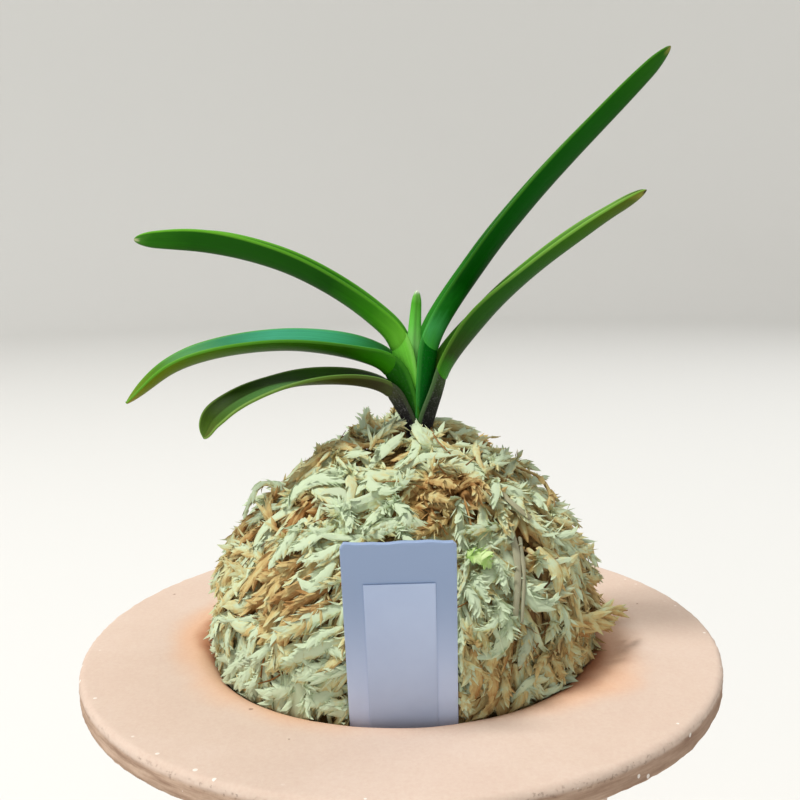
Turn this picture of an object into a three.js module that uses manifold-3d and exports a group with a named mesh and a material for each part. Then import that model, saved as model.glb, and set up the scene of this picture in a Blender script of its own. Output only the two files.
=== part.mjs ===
// Wind orchid planted on a tall dome of dried moss, in an unglazed clay pot with a broad flat brim.
// Millimetres, +Z up, origin at the centre of the pot's foot. The plant label stands on the -Y side.
import * as THREE from 'three';
import { mergeVertices } from 'three/addons/utils/BufferGeometryUtils.js';
import Module from 'manifold-3d';

const wasm = await Module();
wasm.setup();

// ---- driving dimensions ------------------------------------------------------------------------
const CLEARANCE = 0.35;            // gap left between two pieces that touch
const POT = {
  height: 95, brimRadius: 64, brimThickness: 5, brimEdgeRound: 1.3, brimLowerRound: 0.8,
  mouthRadius: 37, lipRound: 5.3, neckRadius: 45, neckFillet: 5,
  body: [[37.6, 22], [41.4, 50]],    // radius, height of the outside between foot and neck
  footRadius: 35, footRingWidth: 5.5, footRingHeight: 3, footRingDraft: 0.6, footRound: 1,
  floorTop: 9, floorRadius: 27, floorRound: 4, drainRadius: 8.5, segments: 56,
};
const MOSS = {
  // outlines above and below the brim plane: radius, height
  outline: [[0, 41.6], [7.5, 41.3], [15.5, 38.9], [23.5, 33.6], [30, 26], [34.7, 17.2], [37.7, 8.2],
    [39.3, 1.5]],
  filling: [[38.6, -2.5], [36.2, -9], [29, -81], [26, -85]],
  // the dome leans aside by centreX, which comes in between the two heights of dome
  centreX: 0.6, dome: [2, 14], domeRings: 9, segments: 34, lump: 0.9, crumple: 0.7,
  strands: 168, strandLength: [12, 20], strandWidth: [2.8, 4.6], strandThickness: 1.2,
  rootDepth: 2.2, lift: 0.9, tipLift: [1.8, 4.6], bend: 36, smallestEdge: 0.15, seed: 2081,
  // strands of the crown lie all ways, those of the sides hang: shares of the outline's length
  crownFades: [0.2, 0.5], swing: [1.5, 5.5], swingCentre: 0.35, curl: 0.03,
  // stations of a strand: share of its length, width over its full width
  root: [-0.35, 0.6], shoulder: [0.1, 1], waist: [0.42, 0.85], tip: 0.65,
};
const STEM = { x: 4.2, baseZ: 33, topZ: 53.85, baseRadius: 2.7, topRadius: 1.3, holeX: 3.7, holeRadius: 4.6 };
const BLADE = {
  thickness: 0.95, jointGap: 0.3, stations: 13, sheathStations: 5, sheathBase: 0.62,
  keelDepth: 1.1, bow: 0.05, taperFrom: 0.5, noseLeg: 0.1, noseShare: 0.99, noseThickness: 0.65,
};
const LABEL = {
  width: 18.8, above: 33, below: 52, thickness: 0.9, corner: 0.6, pointHeight: 12,
  faceY: -36.6, lean: Math.atan(0.22), turn: THREE.MathUtils.degToRad(0.7), centreX: 0.45,
};
const TAPE = { width: 11.8, thickness: 0.3, top: 26.4, bottom: -12, standOff: 0.3 };
const LABEL_SLOT = { side: 0.7, forward: 30, above: 4, below: 6 };   // moss cleared round the label's face

const brimTop = POT.height;

// Leaf midlines above the brim plane, from the stem's base to the tip. `joint` is the x and height at
// which the blade parts from its sheath. `leg` is the width of one folded half, `fold` the angle of
// each half from the leaf's own plane and `roll` its turn about the midline towards -Y, both in
// degrees at sheath, middle and tip. `blunt` sets how late the tip narrows.
const LEAVES = {
  leaf_left_upper: {
    side: -1, color: 0x3f9a2b, leg: 4.7, fold: [36, 34, 34], roll: [0, 2, 0], blunt: 4,
    points: [[4.2, 0, 38], [3.9, 0, 46], [2.9, 0, 54], [0.3, 0, 61.2], [-4.5, 0.5, 66.9], [-12.6, 1.8, 72.5],
      [-22.8, 3.5, 77.7], [-37.4, 5.5, 81.3], [-51.9, 6, 82.1]],
    joint: [1.0, 59.5],
  },
  leaf_left_middle: {
    side: -1, color: 0x3b9a35, leg: 4.9, fold: [44, 50, 50], roll: [4, 20, 16], blunt: 3,
    points: [[4.0, 0, 37.5], [3.5, 0, 45], [1.9, -0.2, 51.3], [-2.3, -0.6, 56.4], [-8.4, -1.3, 59.5],
      [-20.3, -3, 61.1], [-34.3, -6, 60.3], [-44.4, -7.3, 56], [-54, -8, 49]],
    joint: [-0.5, 55.2],
  },
  leaf_left_lower: {
    side: -1, color: 0x3a7a2c, leg: 4.7, fold: [50, 54, 40], roll: [4, 22, 42], blunt: 5,
    points: [[3.7, 0, 37], [3.0, -0.2, 43], [1.2, -0.5, 47.9], [-3.5, -1.3, 51.8], [-9.4, -3, 53.6],
      [-18.5, -5.5, 54], [-28, -8.6, 51.9], [-34.6, -10.6, 47.4], [-38.3, -11.4, 41.7]],
    joint: [-0.8, 50.9],
  },
  leaf_right_long: {
    side: 1, color: 0x2f8a2a, leg: 4.4, fold: [40, 50, 50], roll: [0, -2, -4], blunt: 8,
    points: [[4.6, 0, 38], [4.9, 0, 46], [5.7, 0, 54], [8.1, 0, 63.6], [14.7, 0.6, 73.4], [24, 2, 85.3],
      [36.4, 3.4, 98.4], [54.4, 5, 116.9]],
    joint: [6.5, 59.2],
  },
  leaf_right_short: {
    side: 1, color: 0x6aa23c, leg: 4.3, fold: [46, 58, 56], roll: [0, -6, -8], blunt: 6,
    points: [[4.9, 0, 37.5], [5.4, -0.2, 44], [7.0, -0.6, 50], [10.5, -1, 57.9], [17.3, -2.5, 66.9],
      [27.1, -4.6, 75.4], [38, -6.6, 83.2], [50, -8, 90.4]],
    joint: [8.7, 53.6],
  },
};
// The new leaf is still folded shut: `shut` is its half-width over its height, and it swells from
// `base` of its size to the full size over its first part.
const CENTRE_LEAF = {
  side: -1, color: 0x8fce4e, leg: 3.3, shut: 0.34, fold: [0, 0, 0], roll: [0, 0, 0], blunt: 4,
  base: 0.55, swellShare: 0.33, stations: 8,
  points: [[4.3, 0, 40], [4.1, 0, 47], [3.9, 0, 54], [3.9, 0, 61], [4.6, 0, 70.9]],
  joint: [3.9, 54.15],
};
const ROOTS = {
  radius: 1.7, sides: 6, steps: 8,
  runs: [
    [[4.3, 0, 35], [8, -5, 30], [17, -12, 14], [20, -8, -10], [15, 6, -30]],
    [[4.3, 0, 35], [-2, -4, 30], [-14, -8, 16], [-22, -2, -6], [-16, 12, -34]],
    [[4.3, 0, 35], [7, 6, 29], [14, 18, 12], [8, 24, -14], [-6, 20, -26]],
    [[4.3, 0, 35], [0, 3, 29], [-8, 12, 10], [-4, 10, -22], [4, -2, -46]],
  ],
};
const COLORS = { pot: 0xeed6c4, moss: 0xcbbf8e, stem: 0x5d7a3a, label: 0xc9cde2, tape: 0xbfc4da };

// ---- helpers -----------------------------------------------------------------------------------
function randomSource(seed) {
  let state = seed >>> 0;
  return () => {
    state = (state + 0x6d2b79f5) >>> 0;
    let t = Math.imul(state ^ (state >>> 15), 1 | state);
    t = (t + Math.imul(t ^ (t >>> 7), 61 | t)) ^ t;
    return ((t ^ (t >>> 14)) >>> 0) / 4294967296;
  };
}

const between = (range, share) => range[0] + (range[1] - range[0]) * share;

// Closed geometry -> solid: vertices shared, collapsed triangles dropped, faces turned outwards.
function toSolid(geometry) {
  const bare = geometry.clone();
  bare.deleteAttribute('normal');
  bare.deleteAttribute('uv');
  const merged = mergeVertices(bare, 1e-4);
  const place = merged.getAttribute('position').array;
  const source = merged.getIndex().array;
  const faces = [];
  let volume = 0;
  const a = new THREE.Vector3();
  const b = new THREE.Vector3();
  const c = new THREE.Vector3();
  for (let i = 0; i < source.length; i += 3) {
    const [p, q, r] = [source[i], source[i + 1], source[i + 2]];
    if (p === q || q === r || r === p) continue;
    faces.push(p, q, r);
    a.fromArray(place, 3 * p);
    b.fromArray(place, 3 * q);
    c.fromArray(place, 3 * r);
    volume += a.dot(b.cross(c));
  }
  if (volume < 0) {
    for (let i = 0; i < faces.length; i += 3) [faces[i], faces[i + 1]] = [faces[i + 1], faces[i]];
  }
  return new wasm.Manifold(new wasm.Mesh({
    numProp: 3,
    vertProperties: new Float32Array(place),
    triVerts: new Uint32Array(faces),
  }));
}

function toGeometry(solid) {
  const mesh = solid.getMesh();
  const geometry = new THREE.BufferGeometry();
  geometry.setAttribute('position', new THREE.BufferAttribute(new Float32Array(mesh.vertProperties), 3));
  geometry.setIndex(new THREE.BufferAttribute(new Uint32Array(mesh.triVerts), 1));
  geometry.computeVertexNormals();
  return geometry;
}

// The largest connected body: loose scraps go, and a sealed pocket is filled.
function oneBody(solid) {
  let best = null;
  for (const piece of solid.decompose()) {
    if (!best || piece.volume() > best.volume()) best = piece;
  }
  return best;
}

function namedMesh(name, geometry, color, roughness) {
  const material = new THREE.MeshStandardMaterial({ color, roughness, metalness: 0 });
  const mesh = new THREE.Mesh(geometry, material);
  mesh.name = name;
  return mesh;
}

// Closed skin over rings with equal point counts. `contour` is one ring flat, for the caps.
function loft(rings, contour, tip) {
  const count = rings[0].length;
  const vertices = rings.flat();
  const faces = [];
  for (let k = 0; k + 1 < rings.length; k += 1) {
    for (let i = 0; i < count; i += 1) {
      const j = (i + 1) % count;
      const low = k * count;
      const high = low + count;
      faces.push(low + i, low + j, high + j, low + i, high + j, high + i);
    }
  }
  const cap = THREE.ShapeUtils.triangulateShape(contour, []);
  const clockwise = THREE.ShapeUtils.area(contour) < 0;
  for (const [p, q, r] of cap) {
    const [u, v] = clockwise ? [q, r] : [r, q];
    faces.push(p, u, v);
  }
  const last = (rings.length - 1) * count;
  if (tip) {
    vertices.push(tip);
    for (let i = 0; i < count; i += 1) faces.push(last + i, last + ((i + 1) % count), vertices.length - 1);
  } else {
    for (const [p, q, r] of cap) {
      const [u, v] = clockwise ? [r, q] : [q, r];
      faces.push(last + p, last + u, last + v);
    }
  }
  const geometry = new THREE.BufferGeometry();
  const numbers = vertices.flatMap((v) => v.toArray());
  geometry.setAttribute('position', new THREE.Float32BufferAttribute(numbers, 3));
  geometry.setIndex(faces);
  return geometry;
}

const fromBrim = ([x, y, z]) => new THREE.Vector3(x, y, z + brimTop);

// Turned solid from a profile of radius, height pairs.
function turned(profile, segments) {
  const geometry = new THREE.LatheGeometry(profile.map(([r, z]) => new THREE.Vector2(r, z)), segments);
  return geometry.rotateX(Math.PI / 2);
}

function arc(centreR, centreZ, radius, fromDeg, toDeg, steps) {
  const points = [];
  for (let i = 0; i <= steps; i += 1) {
    const t = THREE.MathUtils.degToRad(fromDeg + ((toDeg - fromDeg) * i) / steps);
    points.push([centreR + radius * Math.cos(t), centreZ + radius * Math.sin(t)]);
  }
  return points;
}

// ---- pot ---------------------------------------------------------------------------------------
// Inner wall of the pot from the brim plane down to the floor, set in by `gap`.
function potInside(gap) {
  const lip = arc(POT.mouthRadius + POT.lipRound, brimTop - POT.lipRound, POT.lipRound + gap, 90, 180, 4);
  const corner = [POT.floorRadius + POT.floorRound / 2 - gap, POT.floorTop + POT.floorRound];
  return [...lip, corner, [POT.floorRadius - gap, POT.floorTop + gap]];
}

function buildPot() {
  const underBrim = brimTop - POT.brimThickness;
  const edge = POT.brimEdgeRound;
  const lower = POT.brimLowerRound;
  const ringInner = POT.footRadius - POT.footRingWidth;
  const fillet = arc(POT.neckRadius + POT.neckFillet, underBrim - POT.neckFillet, POT.neckFillet, 180, 90, 3);
  const profile = [
    [ringInner, 0],
    [POT.footRadius - POT.footRound, 0],
    [POT.footRadius, POT.footRound],
    ...POT.body,
    ...fillet,
    ...arc(POT.brimRadius - lower, underBrim + lower, lower, -90, 0, 1),
    ...arc(POT.brimRadius - edge, brimTop - edge, edge, 0, 90, 2),
    ...potInside(0),
    [POT.drainRadius, POT.floorTop],
    [POT.drainRadius, POT.footRingHeight],
    [ringInner - POT.footRingDraft, POT.footRingHeight],
    [ringInner, 0],
  ];
  return toGeometry(toSolid(turned(profile, POT.segments)));
}

// ---- plant -------------------------------------------------------------------------------------
// Value at share s (0 sheath, 0.5 middle, 1 tip) of a three-point list.
function along(list, s) {
  return s < 0.5 ? between([list[0], list[1]], s * 2) : between([list[1], list[2]], s * 2 - 1);
}

// Outline of a leaf folded along its midrib: x across, y towards the upper side, 10 points.
function foldedOutline(leg, foldDeg, thickness) {
  const fold = THREE.MathUtils.degToRad(foldDeg);
  const half = thickness / 2;
  const keel = Math.min(half / Math.sin(fold), BLADE.keelDepth);
  const drop = (leg * Math.cos(fold)) / 2;
  const at = (share, side, out) => new THREE.Vector2(
    side * (leg * share * Math.sin(fold) + out * Math.cos(fold)),
    leg * share * Math.cos(fold) - out * Math.sin(fold) - drop,
  );
  const bow = leg * BLADE.bow;
  return [
    at(1, -1, half), at(1, -1, -half), at(0.5, -1, bow - half), new THREE.Vector2(0, keel - drop),
    at(0.5, 1, bow - half), at(1, 1, -half), at(1, 1, half), at(0.5, 1, bow + half),
    new THREE.Vector2(0, -keel - drop), at(0.5, -1, bow + half),
  ];
}

function shutOutline(height, shut) {
  return arc(0, 0, height / 2, -90, 240, 11).map(([x, y]) => new THREE.Vector2(x * shut * 2, y));
}

// Share of the midline nearest to the joint between sheath and blade.
function jointShare(curve, joint) {
  const target = new THREE.Vector2(joint[0], joint[1] + brimTop);
  let best = 0;
  let least = Infinity;
  for (let i = 0; i <= 400; i += 1) {
    const p = curve.getPointAt(i / 400);
    const d = Math.hypot(p.x - target.x, p.z - target.y);
    if (d < least) [least, best] = [d, i / 400];
  }
  return best;
}

// One stretch of a leaf between two shares of its midline, as rings and the flat first outline.
function leafStretch(leaf, curve, from, to, bladeFrom, steps) {
  const rings = [];
  let first = null;
  for (let k = 0; k <= steps; k += 1) {
    const share = between([from, to], k / steps);
    const s = Math.max(0, (share - bladeFrom) / (1 - bladeFrom));
    const onBlade = share > bladeFrom;
    const toTip = Math.max(0, (s - BLADE.taperFrom) / (1 - BLADE.taperFrom));
    const narrowing = 1 - toTip ** leaf.blunt;
    const sheath = onBlade ? 1 : between([BLADE.sheathBase, 1], share / bladeFrom);
    const swell = leaf.base ? between([leaf.base, 1], Math.min(1, s / leaf.swellShare)) : 1;
    const leg = leaf.leg * Math.max(narrowing, BLADE.noseLeg) * sheath * swell;
    const thickness = BLADE.thickness * between([BLADE.noseThickness, 1], narrowing);
    const folded = leaf.shut ? null : foldedOutline(leg, along(leaf.fold, s), thickness);
    const outline = folded ?? shutOutline(leg, leaf.shut);
    first = first ?? outline;
    const centre = curve.getPointAt(share);
    const forward = curve.getTangentAt(share);
    const across = new THREE.Vector3(0, 1, 0).addScaledVector(forward, -forward.y).normalize();
    const upper = new THREE.Vector3().crossVectors(forward, across).normalize().multiplyScalar(leaf.side);
    const roll = THREE.MathUtils.degToRad(along(leaf.roll, s)) * leaf.side;
    upper.applyAxisAngle(forward, roll);
    across.applyAxisAngle(forward, roll);
    rings.push(outline.map((q) => centre.clone().addScaledVector(across, q.x).addScaledVector(upper, q.y)));
  }
  return { rings, contour: first };
}

function leafCurve(leaf) {
  return new THREE.CatmullRomCurve3(leaf.points.map(fromBrim), false, 'centripetal');
}

function buildBlade(leaf) {
  const curve = leafCurve(leaf);
  const joint = jointShare(curve, leaf.joint);
  const gap = BLADE.jointGap / curve.getLength();
  const { rings, contour } = leafStretch(leaf, curve, joint + gap, BLADE.noseShare, joint, BLADE.stations);
  return toGeometry(toSolid(loft(rings, contour, curve.getPointAt(1))));
}

function buildSheath(leaf) {
  const curve = leafCurve(leaf);
  const joint = jointShare(curve, leaf.joint);
  const { rings, contour } = leafStretch(leaf, curve, 0, joint, joint, BLADE.sheathStations);
  return toSolid(loft(rings, contour, null));
}

function rootTube(run, radius) {
  const curve = new THREE.CatmullRomCurve3(run.map(fromBrim));
  const circle = new THREE.Shape();
  circle.absarc(0, 0, radius, 0, 2 * Math.PI);
  return toSolid(new THREE.ExtrudeGeometry(circle, {
    extrudePath: curve, steps: ROOTS.steps, curveSegments: ROOTS.sides, bevelEnabled: false,
  }));
}

function stemCore(extra) {
  const height = STEM.topZ - STEM.baseZ;
  const cone = new THREE.CylinderGeometry(STEM.topRadius + extra, STEM.baseRadius + extra, height, 10);
  cone.rotateX(Math.PI / 2).translate(STEM.x, 0, brimTop + STEM.baseZ + height / 2);
  return toSolid(cone);
}

function buildStem() {
  const parts = [stemCore(0)];
  for (const leaf of Object.values(LEAVES)) parts.push(buildSheath(leaf));
  for (const run of ROOTS.runs) parts.push(rootTube(run, ROOTS.radius));
  return toGeometry(oneBody(wasm.Manifold.union(parts)).simplify(0.02));
}

function buildCentreLeaf() {
  const curve = leafCurve(CENTRE_LEAF);
  const joint = jointShare(curve, CENTRE_LEAF.joint);
  const { stations } = CENTRE_LEAF;
  const { rings, contour } = leafStretch(CENTRE_LEAF, curve, joint, BLADE.noseShare, joint, stations);
  return toGeometry(toSolid(loft(rings, contour, curve.getPointAt(1))));
}

// ---- label -------------------------------------------------------------------------------------
// The label's own frame: x across, y up its face, z out of its front face.
function labelFrame() {
  const frame = new THREE.Matrix4().makeTranslation(LABEL.centreX, LABEL.faceY, brimTop);
  frame.multiply(new THREE.Matrix4().makeRotationX(Math.PI / 2 + LABEL.lean));
  return frame.multiply(new THREE.Matrix4().makeRotationZ(LABEL.turn));
}

function labelOutline(grow) {
  const half = LABEL.width / 2 + grow;
  const top = LABEL.above / Math.cos(LABEL.lean) + grow;
  const bottom = -LABEL.below - grow;
  const shape = new THREE.Shape();
  shape.moveTo(-2, bottom);
  shape.lineTo(2, bottom);
  shape.lineTo(half, bottom + LABEL.pointHeight);
  shape.lineTo(half, top - LABEL.corner);
  shape.lineTo(half - LABEL.corner, top);
  shape.lineTo(LABEL.corner - half, top);
  shape.lineTo(-half, top - LABEL.corner);
  shape.lineTo(-half, bottom + LABEL.pointHeight);
  shape.closePath();
  return shape;
}

function labelSlab(grow, front) {
  const depth = LABEL.thickness + front + grow;
  const slab = new THREE.ExtrudeGeometry(labelOutline(grow), { depth, steps: 1, bevelEnabled: false });
  return slab.translate(0, 0, -LABEL.thickness - grow).applyMatrix4(labelFrame());
}

function tapeSlab() {
  const box = new THREE.BoxGeometry(TAPE.width, TAPE.top - TAPE.bottom, TAPE.thickness);
  box.translate(0, (TAPE.top + TAPE.bottom) / 2, TAPE.standOff + TAPE.thickness / 2);
  return box.applyMatrix4(labelFrame());
}

// ---- moss --------------------------------------------------------------------------------------
const domeCurve = new THREE.SplineCurve(MOSS.outline.map(([r, z]) => new THREE.Vector2(r, z)));

// Core of the mound: lumpy dome above the lip, plain filling below it.
function mossCore() {
  const outline = [...domeCurve.getPoints(MOSS.domeRings).map((p) => [p.x, p.y]), ...MOSS.filling];
  outline.push([0, outline.at(-1)[1]]);
  const geometry = turned(outline.map(([r, z]) => [r, z + brimTop]), MOSS.segments);
  const place = geometry.getAttribute('position');
  const p = new THREE.Vector3();
  for (let i = 0; i < place.count; i += 1) {
    p.fromBufferAttribute(place, i);
    const swell = MOSS.lump * Math.sin(p.x * 0.31 + 1) * Math.sin(p.y * 0.27 + 2) * Math.sin(p.z * 0.23)
      + MOSS.crumple * Math.sin(p.x * 1.9 + p.z * 0.7) * Math.sin(p.y * 2.3 - p.z * 1.1);
    const radial = Math.hypot(p.x, p.y);
    const above = THREE.MathUtils.smoothstep(p.z - brimTop, ...MOSS.dome);
    const away = radial > 0.01 ? (swell * above) / radial : 0;
    place.setXYZ(i, p.x * (1 + away) + MOSS.centreX * above, p.y * (1 + away), p.z);
  }
  return toSolid(geometry);
}

// One flat tapering strand that starts inside the core, runs over it and ends clear of it.
function mossStrand(share, angle, random) {
  const flat = domeCurve.getPointAt(share);
  const slope = domeCurve.getTangentAt(share);
  const ring = new THREE.Vector3(Math.cos(angle), Math.sin(angle), 0);
  const normal = ring.clone().multiplyScalar(-slope.y).add(new THREE.Vector3(0, 0, slope.x)).normalize();
  const down = ring.clone().multiplyScalar(slope.x).add(new THREE.Vector3(0, 0, slope.y)).normalize();
  const crown = 1 - THREE.MathUtils.smoothstep(share, ...MOSS.crownFades);
  const swing = (random() - MOSS.swingCentre) * between(MOSS.swing, crown);
  const run = down.applyAxisAngle(normal, swing);
  const side = new THREE.Vector3().crossVectors(normal, run);
  const length = between(MOSS.strandLength, random());
  const width = between(MOSS.strandWidth, random());
  const tipLift = between(MOSS.tipLift, random());
  const curl = (random() - 0.5) * MOSS.curl;
  const start = ring.clone().multiplyScalar(flat.x).add(new THREE.Vector3(MOSS.centreX, 0, flat.y + brimTop));
  const place = (reach, lift) => {
    const sag = (reach * reach) / (2 * MOSS.bend);
    return start.clone().addScaledVector(run, reach).addScaledVector(normal, lift - sag)
      .addScaledVector(side, curl * reach * reach);
  };
  const outline = (grow) => {
    const w = (width * grow) / 2;
    const t = MOSS.strandThickness / 2;
    return [new THREE.Vector2(-w, -t), new THREE.Vector2(w, -t), new THREE.Vector2(0, t)];
  };
  const stations = [[MOSS.root, -MOSS.rootDepth], [MOSS.shoulder, MOSS.lift], [MOSS.waist, 2 * MOSS.lift]];
  const rings = stations.map(([[reach, grow], lift]) => outline(grow).map((q) => place(reach * length, lift)
    .addScaledVector(side, q.x).addScaledVector(normal, q.y)));
  return toSolid(loft(rings, outline(1), place(length * MOSS.tip, tipLift)));
}

function mossStrands() {
  const random = randomSource(MOSS.seed);
  const goldenAngle = Math.PI * (3 - Math.sqrt(5));
  const strands = [];
  for (let i = 0; i < MOSS.strands; i += 1) {
    const share = Math.min(0.97, Math.sqrt((i + 0.5) / MOSS.strands) * 0.9 + 0.05 + (random() - 0.5) * 0.02);
    strands.push(mossStrand(share, i * goldenAngle + (random() - 0.5) * 0.16, random));
  }
  return strands;
}

// The space that the mound may fill: the pot's inside and all above the brim.
function mossRoom() {
  const inside = potInside(CLEARANCE);
  const ceiling = brimTop + POT.brimRadius;
  const floor = POT.floorTop + CLEARANCE;
  const above = [[0, ceiling], [POT.brimRadius, ceiling], [POT.brimRadius, brimTop + CLEARANCE]];
  return toSolid(turned([...above, ...inside, [0, floor]], POT.segments));
}

function stemHole() {
  const height = 40;
  const hole = new THREE.CylinderGeometry(STEM.holeRadius, STEM.holeRadius, height, 12);
  hole.rotateX(Math.PI / 2).translate(STEM.holeX, 0, brimTop + STEM.baseZ + 1 + height / 2);
  return toSolid(hole);
}

function buildMoss() {
  const tapeFront = TAPE.standOff + TAPE.thickness + CLEARANCE;
  const cutters = [stemHole(), stemCore(CLEARANCE), toSolid(labelSlab(CLEARANCE, tapeFront))];
  for (const run of ROOTS.runs) cutters.push(rootTube(run, ROOTS.radius + CLEARANCE));
  const slotHeight = LABEL.above + LABEL_SLOT.above + LABEL_SLOT.below;
  const slot = new THREE.BoxGeometry(LABEL.width + 2 * LABEL_SLOT.side, LABEL_SLOT.forward, slotHeight);
  const slotMiddle = brimTop - LABEL_SLOT.below + slotHeight / 2;
  slot.translate(LABEL.centreX, LABEL.faceY - LABEL_SLOT.forward / 2, slotMiddle);
  cutters.push(toSolid(slot));
  const mound = wasm.Manifold.union([mossCore(), ...mossStrands()]).intersect(mossRoom());
  return toGeometry(oneBody(mound.subtract(wasm.Manifold.union(cutters))).simplify(MOSS.smallestEdge));
}

// ---- assembly ----------------------------------------------------------------------------------
const group = new THREE.Group();
group.add(namedMesh('pot', buildPot(), COLORS.pot, 0.9));
group.add(namedMesh('moss_mound', buildMoss(), COLORS.moss, 0.95));
group.add(namedMesh('stem_with_sheaths', buildStem(), COLORS.stem, 0.5));
for (const [name, leaf] of Object.entries(LEAVES)) {
  group.add(namedMesh(name, buildBlade(leaf), leaf.color, 0.45));
}
group.add(namedMesh('leaf_centre_new', buildCentreLeaf(), CENTRE_LEAF.color, 0.45));
group.add(namedMesh('label', toGeometry(toSolid(labelSlab(0, 0))), COLORS.label, 0.4));
group.add(namedMesh('label_tape', toGeometry(toSolid(tapeSlab())), COLORS.tape, 0.3));

export default group;
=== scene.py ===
import math

import bpy
import numpy as np
from mathutils import Matrix, Vector


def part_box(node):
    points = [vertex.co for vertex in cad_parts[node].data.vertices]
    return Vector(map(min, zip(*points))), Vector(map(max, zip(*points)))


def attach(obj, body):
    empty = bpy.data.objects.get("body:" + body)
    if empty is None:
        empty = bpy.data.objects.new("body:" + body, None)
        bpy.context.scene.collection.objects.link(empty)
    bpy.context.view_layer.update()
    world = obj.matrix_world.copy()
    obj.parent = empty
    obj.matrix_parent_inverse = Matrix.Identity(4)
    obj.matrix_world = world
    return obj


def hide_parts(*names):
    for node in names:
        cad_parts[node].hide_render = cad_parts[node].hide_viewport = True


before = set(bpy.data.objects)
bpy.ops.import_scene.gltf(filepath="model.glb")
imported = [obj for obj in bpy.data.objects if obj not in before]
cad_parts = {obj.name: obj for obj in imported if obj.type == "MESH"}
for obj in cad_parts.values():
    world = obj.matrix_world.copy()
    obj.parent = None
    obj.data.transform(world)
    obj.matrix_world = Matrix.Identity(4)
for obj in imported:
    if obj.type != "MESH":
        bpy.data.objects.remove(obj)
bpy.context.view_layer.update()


# ---- camera ------------------------------------------------------------------------------------
# The eye is 20 cm in front of the pot, a little above its brim, and looks slightly down.
EYE = (0.0008, -0.1979, 0.1762)
LOOK_DOWN = math.radians(9.22)
LEAN_OF_CAMERA = math.radians(-1.07)
LENS = 45
SENSOR_WIDTH = 36

bpy.ops.object.camera_add(location=EYE)
camera = bpy.context.object
upright = Matrix.Rotation(math.pi / 2 - LOOK_DOWN, 3, "X")
camera_turn = upright @ Matrix.Rotation(LEAN_OF_CAMERA, 3, "Z")
camera.rotation_euler = camera_turn.to_euler()
camera.data.lens = LENS
camera.data.sensor_width = SENSOR_WIDTH
camera.data.clip_start = 0.01
bpy.context.scene.camera = camera


# ---- floor and light ---------------------------------------------------------------------------
# A plain pale floor that rises in a soft cove all round, under one broad lamp from above and to the
# left, with a weaker one from behind on the right and pale light from all sides.
MM = 0.001
FLOOR_RADIUS = 1.9
COVE_RADIUS = 0.6
COVE_HEIGHT = 1.0
FLOOR_TURNS = 96
FLOOR_DROP = 0.05 * MM
LAMPS = [
    # name, place, what it shines at, size, watts, colour
    ("lamp_above_left", (-0.95, -0.30, 2.30), (0.0, 0.0, 0.12), 0.60, 54.0, (1.0, 0.985, 0.955)),
    ("lamp_behind_right", (0.90, 0.80, 1.10), (0.0, 0.0, 0.12), 0.80, 5.0, (0.95, 0.97, 1.0)),
    ("lamp_front", (-0.30, -1.30, 0.42), (0.0, 0.0, 0.11), 0.80, 2.6, (0.90, 0.95, 1.0)),
]
SKY_COLOUR = (0.97, 0.94, 0.88, 1.0)
SKY_STRENGTH = 0.36


def deselect():
    if bpy.context.object and bpy.context.object.mode != "OBJECT":
        bpy.ops.object.mode_set(mode="OBJECT")
    bpy.ops.object.select_all(action="DESELECT")


def arc(centre, radius, start, end, steps):
    """Points of a profile, as radius and height, on an arc between two angles in degrees."""
    turn = [math.radians(start + (end - start) * i / steps) for i in range(steps + 1)]
    return [(centre[0] + radius * math.cos(t), centre[1] + radius * math.sin(t)) for t in turn]


def line(start, end, steps):
    """Points of a profile from start up to, but without, end."""
    return [tuple(a + (b - a) * i / steps for a, b in zip(start, end)) for i in range(steps)]


def turned(name, profile, turns, closed=True):
    """A body turned round the z axis from a profile of radius and height."""
    mesh = bpy.data.meshes.new(name)
    count = len(profile)
    edges = [(i, i + 1) for i in range(count - 1)] + ([(count - 1, 0)] if closed else [])
    mesh.from_pydata([(r, 0.0, z) for r, z in profile], edges, [])
    body = bpy.data.objects.new(name, mesh)
    bpy.context.scene.collection.objects.link(body)
    deselect()
    body.select_set(True)
    bpy.context.view_layer.objects.active = body
    bpy.ops.object.mode_set(mode="EDIT")
    bpy.ops.mesh.select_all(action="SELECT")
    bpy.ops.mesh.spin(steps=turns, angle=math.tau, center=(0, 0, 0), axis=(0, 0, 1))
    bpy.ops.mesh.select_all(action="SELECT")
    bpy.ops.mesh.remove_doubles(threshold=1e-6)
    bpy.ops.mesh.normals_make_consistent(inside=False)
    bpy.ops.object.mode_set(mode="OBJECT")
    bpy.ops.object.shade_smooth()
    return body


def colour(red, green, blue):
    """A colour given as 0 to 255 on screen, as the shader needs it."""
    shares = [c / 255 for c in (red, green, blue)]
    return (*[c / 12.92 if c <= 0.04045 else ((c + 0.055) / 1.055) ** 2.4 for c in shares], 1.0)


def finish(name, sockets):
    """A material whose shader has these constants."""
    material = bpy.data.materials.new(name)
    material.use_nodes = True
    shader = material.node_tree.nodes["Principled BSDF"]
    for socket, value in sockets.items():
        shader.inputs[socket].default_value = value
    return material


def node(material, kind, inputs, **settings):
    """Adds a node. An input that is a socket is linked, any other value is set."""
    made = material.node_tree.nodes.new(kind)
    for setting, value in settings.items():
        setattr(made, setting, value)
    for key, value in inputs.items():
        if isinstance(value, bpy.types.NodeSocket):
            material.node_tree.links.new(value, made.inputs[key])
        else:
            made.inputs[key].default_value = value
    return made


def into_shader(material, **sockets):
    shader = material.node_tree.nodes["Principled BSDF"]
    for socket, value in sockets.items():
        material.node_tree.links.new(value, shader.inputs[socket.replace("_", " ")])


def maths(material, operation, *values):
    inputs = dict(enumerate(values))
    return node(material, "ShaderNodeMath", inputs, operation=operation).outputs[0]


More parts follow.
